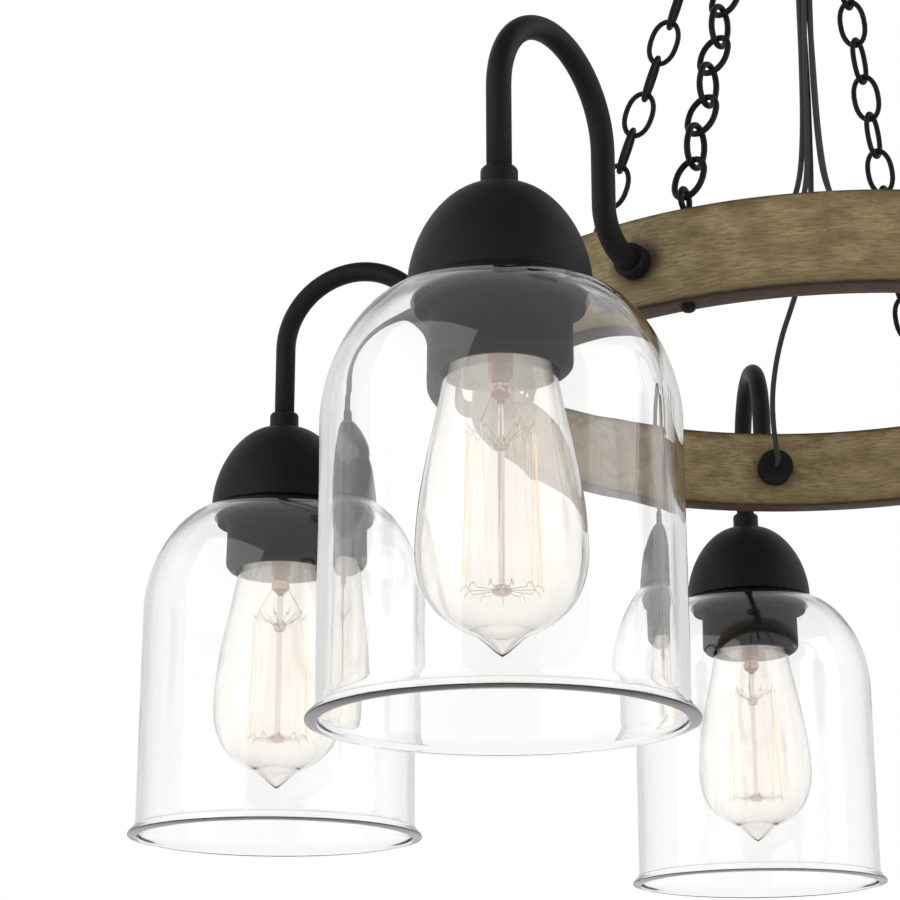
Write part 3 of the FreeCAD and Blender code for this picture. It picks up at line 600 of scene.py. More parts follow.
def stained_oak(name):
    """Bent oak, brushed, stained and dry glazed: short pores along the grain, darker along the upper edge,
    and painted shade along the lower edge and on the lower face.
    """
    hoop = bpy.context.scene.hoop
    low, high = span("ring_band")
    material, tree, shader = blank(name)
    place = add(tree, "ShaderNodeTexCoord").outputs["Object"]
    axes = add(tree, "ShaderNodeSeparateXYZ", {"Vector": place}).outputs

    # Round the hoop the grain is laid out by arc length, mirrored at the first light so that no seam shows
    front = add(tree, "ShaderNodeMath", {0: axes["Y"], 1: -1.0}, operation="MULTIPLY")
    angle = add(tree, "ShaderNodeMath", {0: axes["X"], 1: front.outputs[0]}, operation="ARCTAN2")
    half = add(tree, "ShaderNodeMath", {0: angle.outputs[0]}, operation="ABSOLUTE")
    arc = add(tree, "ShaderNodeMath", {0: half.outputs[0], 1: hoop.outer_radius}, operation="MULTIPLY")
    flat = add(tree, "ShaderNodeCombineXYZ", {"X": axes["X"], "Y": axes["Y"]})
    radius = add(tree, "ShaderNodeVectorMath", {0: flat.outputs[0]}, operation="LENGTH")
    grain = add(
        tree, "ShaderNodeCombineXYZ",
        {"X": arc.outputs[0], "Y": radius.outputs["Value"], "Z": axes["Z"]},
    ).outputs[0]

    def along_grain(long, wide, detail):
        scale = (1 / long, 1 / wide, 1 / wide)
        spot = add(tree, "ShaderNodeVectorMath", {0: grain, 1: scale}, operation="MULTIPLY")
        return add(
            tree, "ShaderNodeTexNoise", {"Vector": spot.outputs[0], "Scale": 1.0, "Detail": detail},
        ).outputs[0]

    def stained(colour, stain, pattern, start, end, first, last):
        """A coat of stain, also used to lay painted shade, whose cover goes from first to last as the
        pattern goes from start to end.
        """
        cover = add(
            tree, "ShaderNodeMapRange",
            {"Value": pattern, "From Min": start, "From Max": end, "To Min": first, "To Max": last},
        )
        return add(
            tree, "ShaderNodeMix",
            {MIX_FACTOR: cover.outputs[0], MIX_A: colour, MIX_B: stain}, data_type="RGBA",
        ).outputs[MIX_OUT]

    # Glaze lies in blotches about 15 mm long, and the brushed grain in streaks and dashes of 5 to 8 mm
    figure = along_grain(0.015, 0.007, 4.0)
    streak = along_grain(0.008, 0.0010, 3.0)
    dash = along_grain(0.005, 0.0007, 2.0)

    # How far a spot is from the nearest arm along the hoop and upwards, made ragged by the blotches
    turn = add(
        tree, "ShaderNodeMath", {0: angle.outputs[0], 1: LIGHTS / (2 * math.pi)}, operation="MULTIPLY",
    )
    near = add(tree, "ShaderNodeMath", {0: turn.outputs[0], 1: -0.5, 2: 0.5}, operation="WRAP")
    arm_step = 2 * math.pi * hoop.outer_radius / LIGHTS
    aside = add(tree, "ShaderNodeMath", {0: near.outputs[0], 1: arm_step}, operation="MULTIPLY")
    up = add(tree, "ShaderNodeMath", {0: axes["Z"], 1: middle_of("ring_band")}, operation="SUBTRACT")
    away = add(tree, "ShaderNodeCombineXYZ", {"X": aside.outputs[0], "Y": up.outputs[0]})
    distance = add(tree, "ShaderNodeVectorMath", {0: away.outputs[0]}, operation="LENGTH").outputs["Value"]
    ragged = 0.016
    from_arm = add(
        tree, "ShaderNodeMath", {0: figure, 1: ragged, 2: distance}, operation="MULTIPLY_ADD",
    ).outputs[0]

    # Heights that wander with the blotches and the streaks, and by how much on average
    blotch, drift = 0.004, 0.0011
    blotchy = add(
        tree, "ShaderNodeMath", {0: figure, 1: 2 * blotch, 2: axes["Z"]}, operation="MULTIPLY_ADD",
    ).outputs[0]
    uneven = add(
        tree, "ShaderNodeMath", {0: streak, 1: 2 * drift, 2: axes["Z"]}, operation="MULTIPLY_ADD",
    ).outputs[0]

    # The figure, streaks, flecks and pores; a darker patch round each arm; a dark upper edge in a wide and a
    # narrow coat; painted shade along the lower edge in a wide and a narrow coat; and painted shade on the
    # lower face
    # Painted shade: the lower face's darker colour, streaked with the edge colour
    below = stained(hoop.underside, hoop.edge, streak, 0.4, 0.7, 0.0, 0.5)
    colour = hoop.light_grain
    for coat in (
        (hoop.dark_grain, figure, 0.34, 0.66, 0.0, 0.85),
        (hoop.dark_grain, streak, 0.46, 0.66, 0.0, 0.7),
        (hoop.fleck, streak, 0.44, 0.30, 0.0, 0.45),
        (hoop.pore, dash, 0.56, 0.70, 0.0, 0.5),
        (hoop.edge, from_arm, 0.0155, 0.0215, 0.8, 0.0),
        # Painted shade: a wide dark band along the lower edge, where the rounded edge turns into shadow
        (hoop.pore, blotchy, low + blotch + 0.001, low + blotch + 0.006, 0.45, 0.0),
        (hoop.pore, blotchy, high + blotch - 0.005, high + blotch, 0.0, 0.45),
        # Painted shade: the narrow shadow line along the lower edge
        (hoop.edge, uneven, low + drift + 0.0006, low + drift + 0.0020, 0.96, 0.0),
        (hoop.edge, uneven, high + drift - 0.0016, high + drift - 0.0004, 0.0, 0.85),
        # Painted shade: the whole lower face in its darker colour
        (below, axes["Z"], low + 0.0001, low + 0.0004, 1.0, 0.0),
    ):
        colour = stained(colour, *coat)

    gloss = add(
        tree, "ShaderNodeMapRange",
        {"Value": streak, "From Min": 0.3, "From Max": 0.7, "To Min": 0.52, "To Max": 0.68},
    )
    bump = add(tree, "ShaderNodeBump", {"Height": streak, "Strength": 0.22, "Distance": 0.0004})
    tree.links.new(colour, shader.inputs["Base Color"])
    tree.links.new(gloss.outputs[0], shader.inputs["Roughness"])
    tree.links.new(bump.outputs[0], shader.inputs["Normal"])
    shader.inputs["Specular IOR Level"].default_value = 0.35
    return material


def clear_glass(name, wave_mm, wave_strength, tint, density):
    """Clear glass with slow waves from the mould, and a faint cast that only thick glass shows."""
    material, tree, shader = blank(name)
    rippled(tree, shader, wave_mm, wave_strength, depth=0.002)
    shader.inputs["Base Color"].default_value = linear("#ffffff")
    shader.inputs["Roughness"].default_value = 0.0
    shader.inputs["IOR"].default_value = 1.5
    shader.inputs["Transmission Weight"].default_value = 1.0
    cast = add(tree, "ShaderNodeVolumeAbsorption", {"Color": linear(tint), "Density": density})
    tree.links.new(cast.outputs[0], tree.nodes["Material Output"].inputs["Volume"])
    return material


def blown_glass(name):
    """Soda-lime glass blown in a mould for the bells."""
    return clear_glass(name, wave_mm=26.0, wave_strength=0.05, tint="#b9b2a8", density=10.0)


def bulb_glass(name):
    """Thin soda-lime glass of the bulbs."""
    return clear_glass(name, wave_mm=24.0, wave_strength=0.03, tint="#c9c3b2", density=34.0)


def stem_glass(name):
    """Lead glass of the bulbs' stems and rods, tinted pink as painted light that stands in for the lit
    filament's warm glow on them.
    """
    return clear_glass(name, wave_mm=5.0, wave_strength=0.08, tint="#c99c89", density=200.0)


def glowing_tungsten(name):
    """Drawn tungsten, turned down low: a warm wire with a weak glow that varies along it."""
    material, tree, shader = blank(name)
    clouded(tree, shader, "#f9cb96", "#fde6ba", size_mm=6.0, detail=1.0, socket="Emission Color")
    shader.inputs["Base Color"].default_value = linear("#4a3526")
    shader.inputs["Emission Strength"].default_value = 1.0
    shader.inputs["Roughness"].default_value = 0.5
    return material


def warm_glow(name):
    """A painted glow: a faintly lit fog inside each bulb that stands in for the haze of the lit bulb and
    veils what lies behind it.
    """
    material, tree, shader = blank(name)
    tree.nodes.remove(shader)
    density, glow = 12.0, 1.2
    clear = add(tree, "ShaderNodeBsdfTransparent")
    veil = add(tree, "ShaderNodeVolumeAbsorption", {"Color": linear("#000000"), "Density": density})
    light = add(tree, "ShaderNodeEmission", {"Color": linear("#fef6ea"), "Strength": glow * density})
    both = add(tree, "ShaderNodeAddShader", {0: veil.outputs[0], 1: light.outputs[0]})
    output = tree.nodes["Material Output"]
    tree.links.new(clear.outputs[0], output.inputs["Surface"])
    tree.links.new(both.outputs[0], output.inputs["Volume"])
    return material


def metal(name, pale, dark, rough, grit_mm):
    """A bare or plated metal: its colour drifts a little and fine grit breaks up its gloss."""
    spread = 0.08
    material, tree, shader = blank(name)
    clouded(tree, shader, pale, dark, size_mm=8.0, detail=3.0)
    place = add(tree, "ShaderNodeTexCoord").outputs["Object"]
    grit = add(tree, "ShaderNodeTexNoise", {"Vector": place, "Scale": 1000 / grit_mm, "Detail": 2.0})
    gloss = add(
        tree, "ShaderNodeMapRange",
        {"Value": grit.outputs[0], "To Min": rough - spread, "To Max": rough + spread},
    )
    tree.links.new(gloss.outputs[0], shader.inputs["Roughness"])
    shader.inputs["Metallic"].default_value = 1.0
    return material


def base_brass(name):
    """Rolled brass of the screw shells, a little coppery."""
    return metal(name, "#c99a63", "#a8703f", rough=0.32, grit_mm=0.5)


def nickel_wire(name):
    """Drawn nickel wire of the filament's hooks and leads."""
    return metal(name, "#9a948b", "#6f6a63", rough=0.35, grit_mm=0.4)


def zinc_plate(name):
    """Zinc plate on the strap, the threaded nipple and its nut."""
    return metal(name, "#b9bcbf", "#8f9396", rough=0.42, grit_mm=0.8)


def moulding(name, pale, dark, rough):
    """A moulded insulating part: a fine grain in the skin and a faint cloudiness."""
    material, tree, shader = blank(name)
    clouded(tree, shader, pale, dark, size_mm=10.0, detail=3.0)
    rippled(tree, shader, size_mm=0.7, strength=0.12, depth=0.0002)
    shader.inputs["Roughness"].default_value = rough
    return material


def phenolic(name):
    """Black moulded phenolic of the screw sockets."""
    return moulding(name, "#1d1b1a", "#141211", rough=0.4)


def lead_cover(name):
    """Black extruded cover of the leads."""
    return moulding(name, "#1c1c1d", "#121213", rough=0.5)


FINISHES = {
    maker.__name__: maker
    for maker in (
        powder_coat, stained_oak, blown_glass, bulb_glass, stem_glass, glowing_tungsten, warm_glow,
        base_brass, nickel_wire, zinc_plate, phenolic, lead_cover,
    )
}


def finish(look):
    """The named material, made the first time it is asked for."""
    return bpy.data.materials.get(look) or FINISHES[look](look)


def leg_radius(scene):
    """How far out the gooseneck's inner leg stands."""
    return scene.hoop.outer_radius + scene.arms.sleeve_length + scene.arms.root_bend


def light_radius(scene):
    """How far out each light hangs."""
    return leg_radius(scene) + 2 * scene.arms.bow


def boss_face(scene):
    """Where a flat nut's edge meets the hoop's curved inner face."""
    inner = scene.hoop.outer_radius - scene.hoop.wall
    return math.sqrt(inner ** 2 - (scene.arms.boss / 2) ** 2) - SEAT_GAP


def boss_inside(scene):
    """Where the bore of that nut ends at its floor."""
    return boss_face(scene) - scene.arms.boss_length + scene.arms.boss_floor


def bolt_radius(scene):
    """How far out the eye bolts stand, in the middle of the hoop's wall."""
    return scene.hoop.outer_radius - scene.hoop.wall / 2


def eye_radius(scene):
    """Outside radius of a small eye."""
    return scene.fittings.eye_hole + scene.fittings.eye_wire


def hub_eye_reach(scene):
    """How far out the hub's side eyes stand."""
    return scene.fittings.hub + SEAT_GAP + eye_radius(scene)


class CHANDELIER_OT_hoop(Operator):
    """Models the bent oak hoop, bored for its arms and eye bolts"""

    bl_idname = "chandelier.hoop"
    bl_label = "Hoop"

    def execute(self, context):
        scene = context.scene
        sizes = scene.hoop
        low, high = span("ring_band")
        outer = sizes.outer_radius
        inner = outer - sizes.wall
        edge = sizes.edge_round
        ease = sizes.inner_round
        outline = Outline([(inner + ease, low)])
        outline.line(outer - edge, low).quarter(outer, low + edge, False, 5)
        outline.line(outer, high - edge).quarter(outer - edge, high, True, 5)
        outline.line(inner + ease, high).quarter(inner, high - ease, False, 4)
        outline.line(inner, low + ease).quarter(inner + ease, low, True, 4)
        outline.pop()
        hoop = turned("hoop", outline, 240)
        arm_holes = drills(
            sides=32, radius=scene.arms.tube / 2 + SLIP_GAP, depth=4 * sizes.wall,
            spot=(inner, 0, middle_of("ring_band")), places=light_places(), lying=True,
        )
        bolt_holes = drills(
            sides=24, radius=scene.fittings.shank / 2 + SLIP_GAP, depth=3 * (high - low),
            spot=(bolt_radius(scene), 0, low), places=chain_places(),
        )
        combined(hoop, joined("cutters", arm_holes + bolt_holes), "DIFFERENCE")
        fitted(hoop, FIXTURE, "ring_wood", "stained_oak", "ring_band")
        return {"FINISHED"}


class CHANDELIER_OT_arms(Operator):
    """Bends the gooseneck tubes and turns their sleeves and bosses"""

    bl_idname = "chandelier.arms"
    bl_label = "Gooseneck arms"

    def execute(self, context):
        scene = context.scene
        bore = scene.arms.tube / 2 + SEAT_GAP
        arm_z = middle_of("ring_band")
        fitted_lights(self.tube(scene, arm_z), "gooseneck_{}", FIXTURE, *BLACK, "arm_{}")
        for pattern, reach, name, node in (
            (self.sleeve(scene, bore), scene.hoop.outer_radius + SEAT_GAP, "arm_sleeves", "arm_flanges"),
            (self.boss(scene, bore), boss_face(scene) - scene.arms.boss_length, "arm_bosses", "arm_nuts"),
        ):
            placed(laid(pattern), Matrix.Translation((reach, 0, arm_z)))
            fitted(round_lights(pattern, name), FIXTURE, *BLACK, node)
        return {"FINISHED"}

    def tube(self, scene, arm_z):
        """The bent tube: out through the hoop, up, over the bow and down to its dome."""
        sizes = scene.arms
        start = boss_inside(scene) + SLIP_GAP
        leg = leg_radius(scene)
        root = leg - sizes.root_bend
        bow_z = arm_z + sizes.root_bend + sizes.inner_leg
        end_z = span("arm_1")[0]
        deselect()
        bpy.ops.mesh.primitive_circle_add(
            vertices=32, radius=sizes.tube / 2, location=(0, 0, 0), rotation=(0, math.pi / 2, 0),
        )
        tube = bpy.context.object
        bpy.ops.object.transform_apply(rotation=True)
        placed(tube, Matrix.Translation((start, 0, arm_z)))
        bpy.ops.object.mode_set(mode="EDIT")
        bpy.ops.mesh.select_all(action="SELECT")
        bpy.ops.mesh.extrude_region_move(TRANSFORM_OT_translate={"value": (root - start, 0, 0)})
        bpy.ops.mesh.spin(
            steps=16, angle=math.pi / 2, axis=(0, 1, 0), center=(root, 0, arm_z + sizes.root_bend),
        )
        bpy.ops.mesh.extrude_region_move(TRANSFORM_OT_translate={"value": (0, 0, sizes.inner_leg)})
        bpy.ops.mesh.spin(steps=48, angle=math.pi, axis=(0, -1, 0), center=(leg + sizes.bow, 0, bow_z))
        bpy.ops.mesh.extrude_region_move(TRANSFORM_OT_translate={"value": (0, 0, end_z - bow_z)})
        closed_up()
        return worked(tube, "SOLIDIFY", thickness=sizes.tube_wall, offset=-1.0)

    def sleeve(self, scene, bore):
        """The sleeve between the hoop's outer face and the tube's bend."""
        half = scene.arms.sleeve / 2
        end = scene.arms.sleeve_length - SEAT_GAP
        end_round = 0.0008
        outline = Outline([(bore, 0.0), (half - FINE_EDGE, 0.0), (half, FINE_EDGE)])
        outline.line(half, end - end_round).quarter(half - end_round, end, True, 4).line(bore, end)
        return turned("sleeve", outline, 48)

    def boss(self, scene, bore):
        """The round nut on the hoop's inner face, with a hole for the lead in its floor."""
        sizes = scene.arms
        lead_hole = scene.leads.diameter / 2 + SLIP_GAP
        half = sizes.boss / 2
        outline = Outline([(lead_hole, 0.0), (half - sizes.boss_round, 0.0)])
        outline.quarter(half, sizes.boss_round, False, 6)
        outline.line(half, sizes.boss_length).line(bore, sizes.boss_length)
        outline.line(bore, sizes.boss_floor).line(lead_hole, sizes.boss_floor)
        return turned("boss", outline, 64)


class CHANDELIER_OT_lamp_heads(Operator):
    """Turns the collars, domes, glass holders and screw sockets"""

    bl_idname = "chandelier.lamp_heads"
    bl_label = "Domes and holders"

    def execute(self, context):
        scene = context.scene
        sizes = scene.lamps
        reach = light_radius(scene)
        tube = scene.arms.tube / 2
        collars = round_lights(self.collar(sizes, tube + SEAT_GAP), "dome_collars", reach)
        fitted(collars, FIXTURE, *BLACK, "collars")
        dome = self.dome(sizes, tube + SLIP_GAP)
        fitted_lights(dome, "dome_{}", FIXTURE, *BLACK, "cap_{}", reach)
        holder = self.holder(sizes)
        fitted_lights(holder, "glass_holder_{}", FIXTURE, *BLACK, "socket_cup_{}", reach)
        socket = self.socket(sizes.socket, scene.bulbs.base + SLIP_GAP, tube + SEAT_GAP)
        sockets = round_lights(socket, "lamp_sockets", reach)
        fitted(sockets, FIXTURE, "socket_body", "phenolic", "sockets")
        return {"FINISHED"}

    def collar(self, sizes, bore):
        """The collar between the tube's end and the dome."""
        low, high = span("collars")
        half = sizes.collar / 2
        top = sizes.collar_round
        outline = Outline([(bore, low), (half, low), (half, high - top)])
        outline.quarter(half - top, high, True, 6).line(bore, high)
        return turned("collar", outline, 64)

    def dome(self, sizes, bore):
        """The pressed dome, whose flat top is as wide as the collar."""
        low, high = span("cap_1")
        wall = sizes.dome_wall
        lip = wall / 3
        top = sizes.collar / 2
        outline = Outline([(sizes.dome - lip, low), (sizes.dome, low + lip)])
        outline.quarter(top, high, True, 24)
        outline.line(bore, high).line(bore, high - wall).line(top, high - wall)
        outline.quarter(sizes.dome - wall, low + lip, False, 24).line(sizes.dome - wall + lip, low)
        return turned("dome", outline, 96)

    def holder(self, sizes):
        """The cup that holds the glass: its flange, its rounded body and its open bottom."""
        low, high = span("socket_cup_1")
        neck = sizes.socket + SLIP_GAP
        wall = sizes.holder_wall
        inner = sizes.holder - wall
        web = high - sizes.holder_web
        under = high - sizes.flange_thick
        edge = 0.0005
        lip = sizes.holder_lip
        outline = Outline([(neck, high), (sizes.flange - edge, high)])
        outline.quarter(sizes.flange, high - edge, False, 3).line(sizes.flange, under + edge)
        outline.quarter(sizes.flange - edge, under, True, 3).line(sizes.holder + edge, under)
        outline.quarter(sizes.holder, under - edge, False, 3)
        outline.line(sizes.holder, low + lip).quarter(sizes.holder - lip, low, True, 10)
        outline.line(sizes.holder_mouth, low).line(sizes.holder_mouth, low + wall)
        outline.line(inner - lip + wall, low + wall).quarter(inner, low + lip, False, 8)
        outline.line(inner, web).line(neck, web)
        return turned("holder", outline, 80)

    def socket(self, outer, bore, tube_bore):
        """The screw socket with its neck, hollow from below up to its contact."""
        low, high = span("sockets")
        neck, neck_height = 0.008, 0.007
        entry, shoulder = 0.0008, 0.001
        top = high - neck_height
        contact = low + 0.028
        outline = Outline([(bore + entry, low), (outer - EDGE, low), (outer, low + EDGE)])
        outline.line(outer, top - shoulder).quarter(outer - shoulder, top, True, 4)
        outline.line(neck, top).line(neck, high)
        outline.line(tube_bore, high).line(tube_bore, top).line(0.0, top)
        hollow = [(bore, low + entry), (bore, contact), (0.0, contact)]
        return turned("socket", outline[::-1] + hollow, 64)


class CHANDELIER_OT_shades(Operator):
    """Blows the glass bells"""

    bl_idname = "chandelier.shades"
    bl_label = "Glass bells"

    def execute(self, context):
        sizes = context.scene.shades
        low, crown = span("shade_1")
        shoulder = crown - sizes.shoulder
        flare = low + sizes.flare
        # Heights of the pulls on the flare's curve
        upper, lower = flare - sizes.flare / 2, low + sizes.flare / 3
        inner = sizes.radius - sizes.wall
        outer_lip = sizes.radius + sizes.reach
        inner_lip = outer_lip - sizes.lip
        lip_z = low + sizes.lip_rise
        outline = Outline([(sizes.hole, crown), (sizes.crown, crown)])
        outline.quarter(sizes.radius, shoulder, False, 32).line(sizes.radius, flare)
        outline.bend((sizes.radius, upper), (outer_lip, lower), outer_lip, lip_z + sizes.lip_round, 14)
        outline.quarter(outer_lip - sizes.lip_round, lip_z, True, 8)
        outline.line(inner_lip + sizes.lip_ease, low)
        outline.quarter(inner_lip, low + sizes.lip_ease, False, 6)
        outline.bend((inner_lip, lower), (inner, upper), inner, flare, 14)
        outline.line(inner, shoulder).quarter(sizes.crown, crown - sizes.wall, True, 32)
        outline.line(sizes.hole, crown - sizes.wall)
        bell = turned("bell", outline, 144)
        reach = light_radius(context.scene)
        fitted_lights(bell, "bell_{}", FIXTURE, "shade_glass", "blown_glass", "shade_{}", reach)
        return {"FINISHED"}


class CHANDELIER_OT_bulbs(Operator):
    """Makes the filament bulbs: screw bases, glass, stems, hooks and filament cages"""

    bl_idname = "chandelier.bulbs"
    bl_label = "Bulbs"

    def execute(self, context):
        sizes = context.scene.bulbs
        reach = light_radius(context.scene)
        low, high = span("bulb_base_1")
        for pattern, name, slot, look, node in (
            (self.base(sizes, low, high), "screw_base_{}", "base_brass", "base_brass", "bulb_base_{}"),
            (self.envelope(sizes, low), "bulb_{}", "bulb_clear", "bulb_glass", "bulb_glass_{}"),
            (self.glow(sizes, low), "glow_{}", "bulb_clear", "warm_glow", "bulb_glass_{}"),
            (self.stem(sizes, low), "stem_{}", "filament_parts", "stem_glass", "filament_{}"),
            (self.hooks(sizes, low), "hooks_{}", "filament_parts", "nickel_wire", "filament_{}"),
            (self.strands(sizes, low), "strands_{}", "filament_parts", "glowing_tungsten", "filament_{}"),
        ):
            fitted_lights(pattern, name, BULB, slot, look, node, reach)
        return {"FINISHED"}

    def base(self, sizes, low, high):
        """The screw shell with its rolled thread, the insulating cone and the contact."""
        contact, contact_rise, cone = 0.0045, 0.001, 0.004
        corner, thickness = 0.001, 0.0012
        skirt_height, thread_start = 0.0012, 0.0018
        turns, waves = 4, 8
        top = high - contact_rise - cone
        root = sizes.base - sizes.thread_depth
        skirt = sizes.base - SEAT_GAP
        inner = sizes.base - sizes.base_wall - sizes.thread_depth / 2
        outline = Outline([(0.0, top - corner), (inner - thickness, top - corner)])
        outline.line(inner, top - 2 * corner).line(inner, low)
        outline.line(skirt, low).line(skirt, low + skirt_height)
        for step in range(turns * waves + 1):
            swell = 0.5 - 0.5 * math.cos(2 * math.pi * step / waves)
            rise = thread_start + sizes.thread_pitch * step / waves
            outline.line(root + sizes.thread_depth * swell, low + rise)
        outline.line(root, top - corner).line(root - corner, top).line(contact, high - contact_rise)
        outline.line(contact, high - 0.0003).line(contact - 0.0005, high).line(0.0, high)
        return turned("screw_base", outline, 64)

    def neck(self, sizes):
        """Outside radius of the glass in the screw shell."""
        return sizes.base - sizes.base_wall - SLIP_GAP

    def form(self, sizes, base_low, inset):
        """The bulb's outline from its neck to its tip, set in by the wall for the inside."""
        tip, top = span("bulb_glass_1")
        shoulder, cone = sizes.shoulder, sizes.cone
        neck = self.neck(sizes) - inset
        throat = sizes.throat - inset
        belly = sizes.belly - inset
        throat_z = base_low - shoulder
        belly_z = throat_z - cone
        lean = (belly - throat) / cone
        outline = Outline([(neck, top), (neck, base_low)])
        outline.bend(
            (neck, base_low - shoulder / 3), (throat - lean * shoulder / 2, throat_z + shoulder / 2),
            throat, throat_z, 14,
        )
        outline.bend(
            (throat + lean * cone / 3, throat_z - cone / 3), (belly, belly_z + cone / 3),
            belly, belly_z, 20,
        )
        # The nose rounds in and then draws out to the pinched tip, with pulls set one by one
        nose = sizes.nose - inset
        nose_z = tip + sizes.nose_height
        outline.bend(
            (belly, belly_z - 0.019), (nose + 0.0115, nose_z + 0.0047), nose, nose_z + inset, 20,
        )
        outline.bend(
            (nose - 0.0041, nose_z - 0.0025 + inset), (0.0036 - inset, tip + 0.0019 + 1.2 * inset),
            0.0, tip + 1.3 * inset, 12,
        )
        return outline

    def envelope(self, sizes, base_low):
        """The glass, from its tip up the outside and down the inside."""
        outer = self.form(sizes, base_low, 0.0)
        return turned("bulb", outer[::-1] + self.form(sizes, base_low, sizes.wall), 112)

    def glow(self, sizes, base_low):
        """The fog of painted glow inside the glass, just clear of its wall."""
        outline = self.form(sizes, base_low, sizes.wall + 0.0004)
        outline[0] = (0.0, base_low)
        return turned("glow", outline, 64)

    def stem(self, sizes, base_low):
        """The flared glass stem, its press, and the rod with its bead and button."""
        flare = self.neck(sizes) - sizes.wall - SLIP_GAP
        press = base_low - sizes.press
        tube, waist, pinch, rod = 0.0048, 0.0034, 0.0046, 0.0013
        outline = Outline([(0.0, base_low), (flare - 0.0005, base_low), (flare, base_low - EDGE)])
        outline.bend(
            (flare * 0.6, base_low - 0.002), (0.0050, base_low - 0.004), tube, base_low - 0.009, 10,
        )
        outline.line(tube, press + 0.010)
        outline.bend((tube, press + 0.0085), (waist, press + 0.0085), waist, press + 0.007, 4)
        outline.bend((waist, press + 0.0055), (pinch, press + 0.0055), pinch, press + 0.004, 4)
        outline.bend((pinch, press + 0.001), (rod, press + 0.001), rod, press - 0.001, 6)
        steps = 12
        for drop, size, squeeze in ((sizes.bead, 0.0030, 0.9), (sizes.button, 0.0036, 0.6)):
            middle, half = base_low - drop, size * squeeze
            outline.line(rod, middle + half)
            for step in range(1, steps):
                turn = math.pi * step / steps
                outline.line(rod + (size - rod) * math.sin(turn), middle + half * math.cos(turn))
            outline.line(rod, middle - half)
        outline[-1] = (0.0, outline[-1][1])
        return turned("stem", outline, 32)

    def hook_points(self, sizes, base_low):
        """Where each strand turns: the upper hooks, and the lower ones half a step round."""
        count = sizes.strands // 2
        rings = []
        for shift, radius, z in (
            (0.0, sizes.cage_top, base_low - sizes.bead + 0.0050),
            (0.5, sizes.cage_bottom, base_low - sizes.button),
        ):
            angles = [2 * math.pi * (index + shift) / count for index in range(count)]
            rings.append([Vector((radius * math.cos(turn), radius * math.sin(turn), z)) for turn in angles])
        return rings

    def hooks(self, sizes, base_low):
        """Fine wires from the bead and the button out to their hooks, and the two leads from the press."""
        press = base_low - sizes.press
        upper, lower = self.hook_points(sizes, base_low)
        # A hook's bends from its strand's end: outwards, and back along the strand
        bends = ((-0.0030, -0.0004), (-0.0016, 0.0014), (0.0, 0.0), (0.0007, -0.0016))
        paths = []
        for ends, drop, way in ((upper, sizes.bead, -1), (lower, sizes.button, 1)):
            for end in ends:
                out = Vector((end.x, end.y, 0)).normalized()
                path = [out * 0.002 + Vector((0, 0, base_low - drop))]
                path += [end + out * aside + Vector((0, 0, up * way)) for aside, up in bends]
                paths.append(path)
        for end in (upper[0], upper[len(upper) // 2]):
            out = Vector((end.x, end.y, 0)).normalized()
            paths.append([
                out * 0.003 + Vector((0, 0, press + 0.005)),
                out * 0.0055 + Vector((0, 0, press + 0.001)),
                end * 0.75 + Vector((0, 0, end.z * 0.25 + 0.006)),
                end,
            ])
        return wires("hooks", paths, sizes.hook)

    def strands(self, sizes, base_low):
        """The zigzag of filament between the upper and the lower hooks."""
        pairs = zip(*self.hook_points(sizes, base_low))
        return wires("strands", [[end for pair in pairs for end in pair]], sizes.strand)


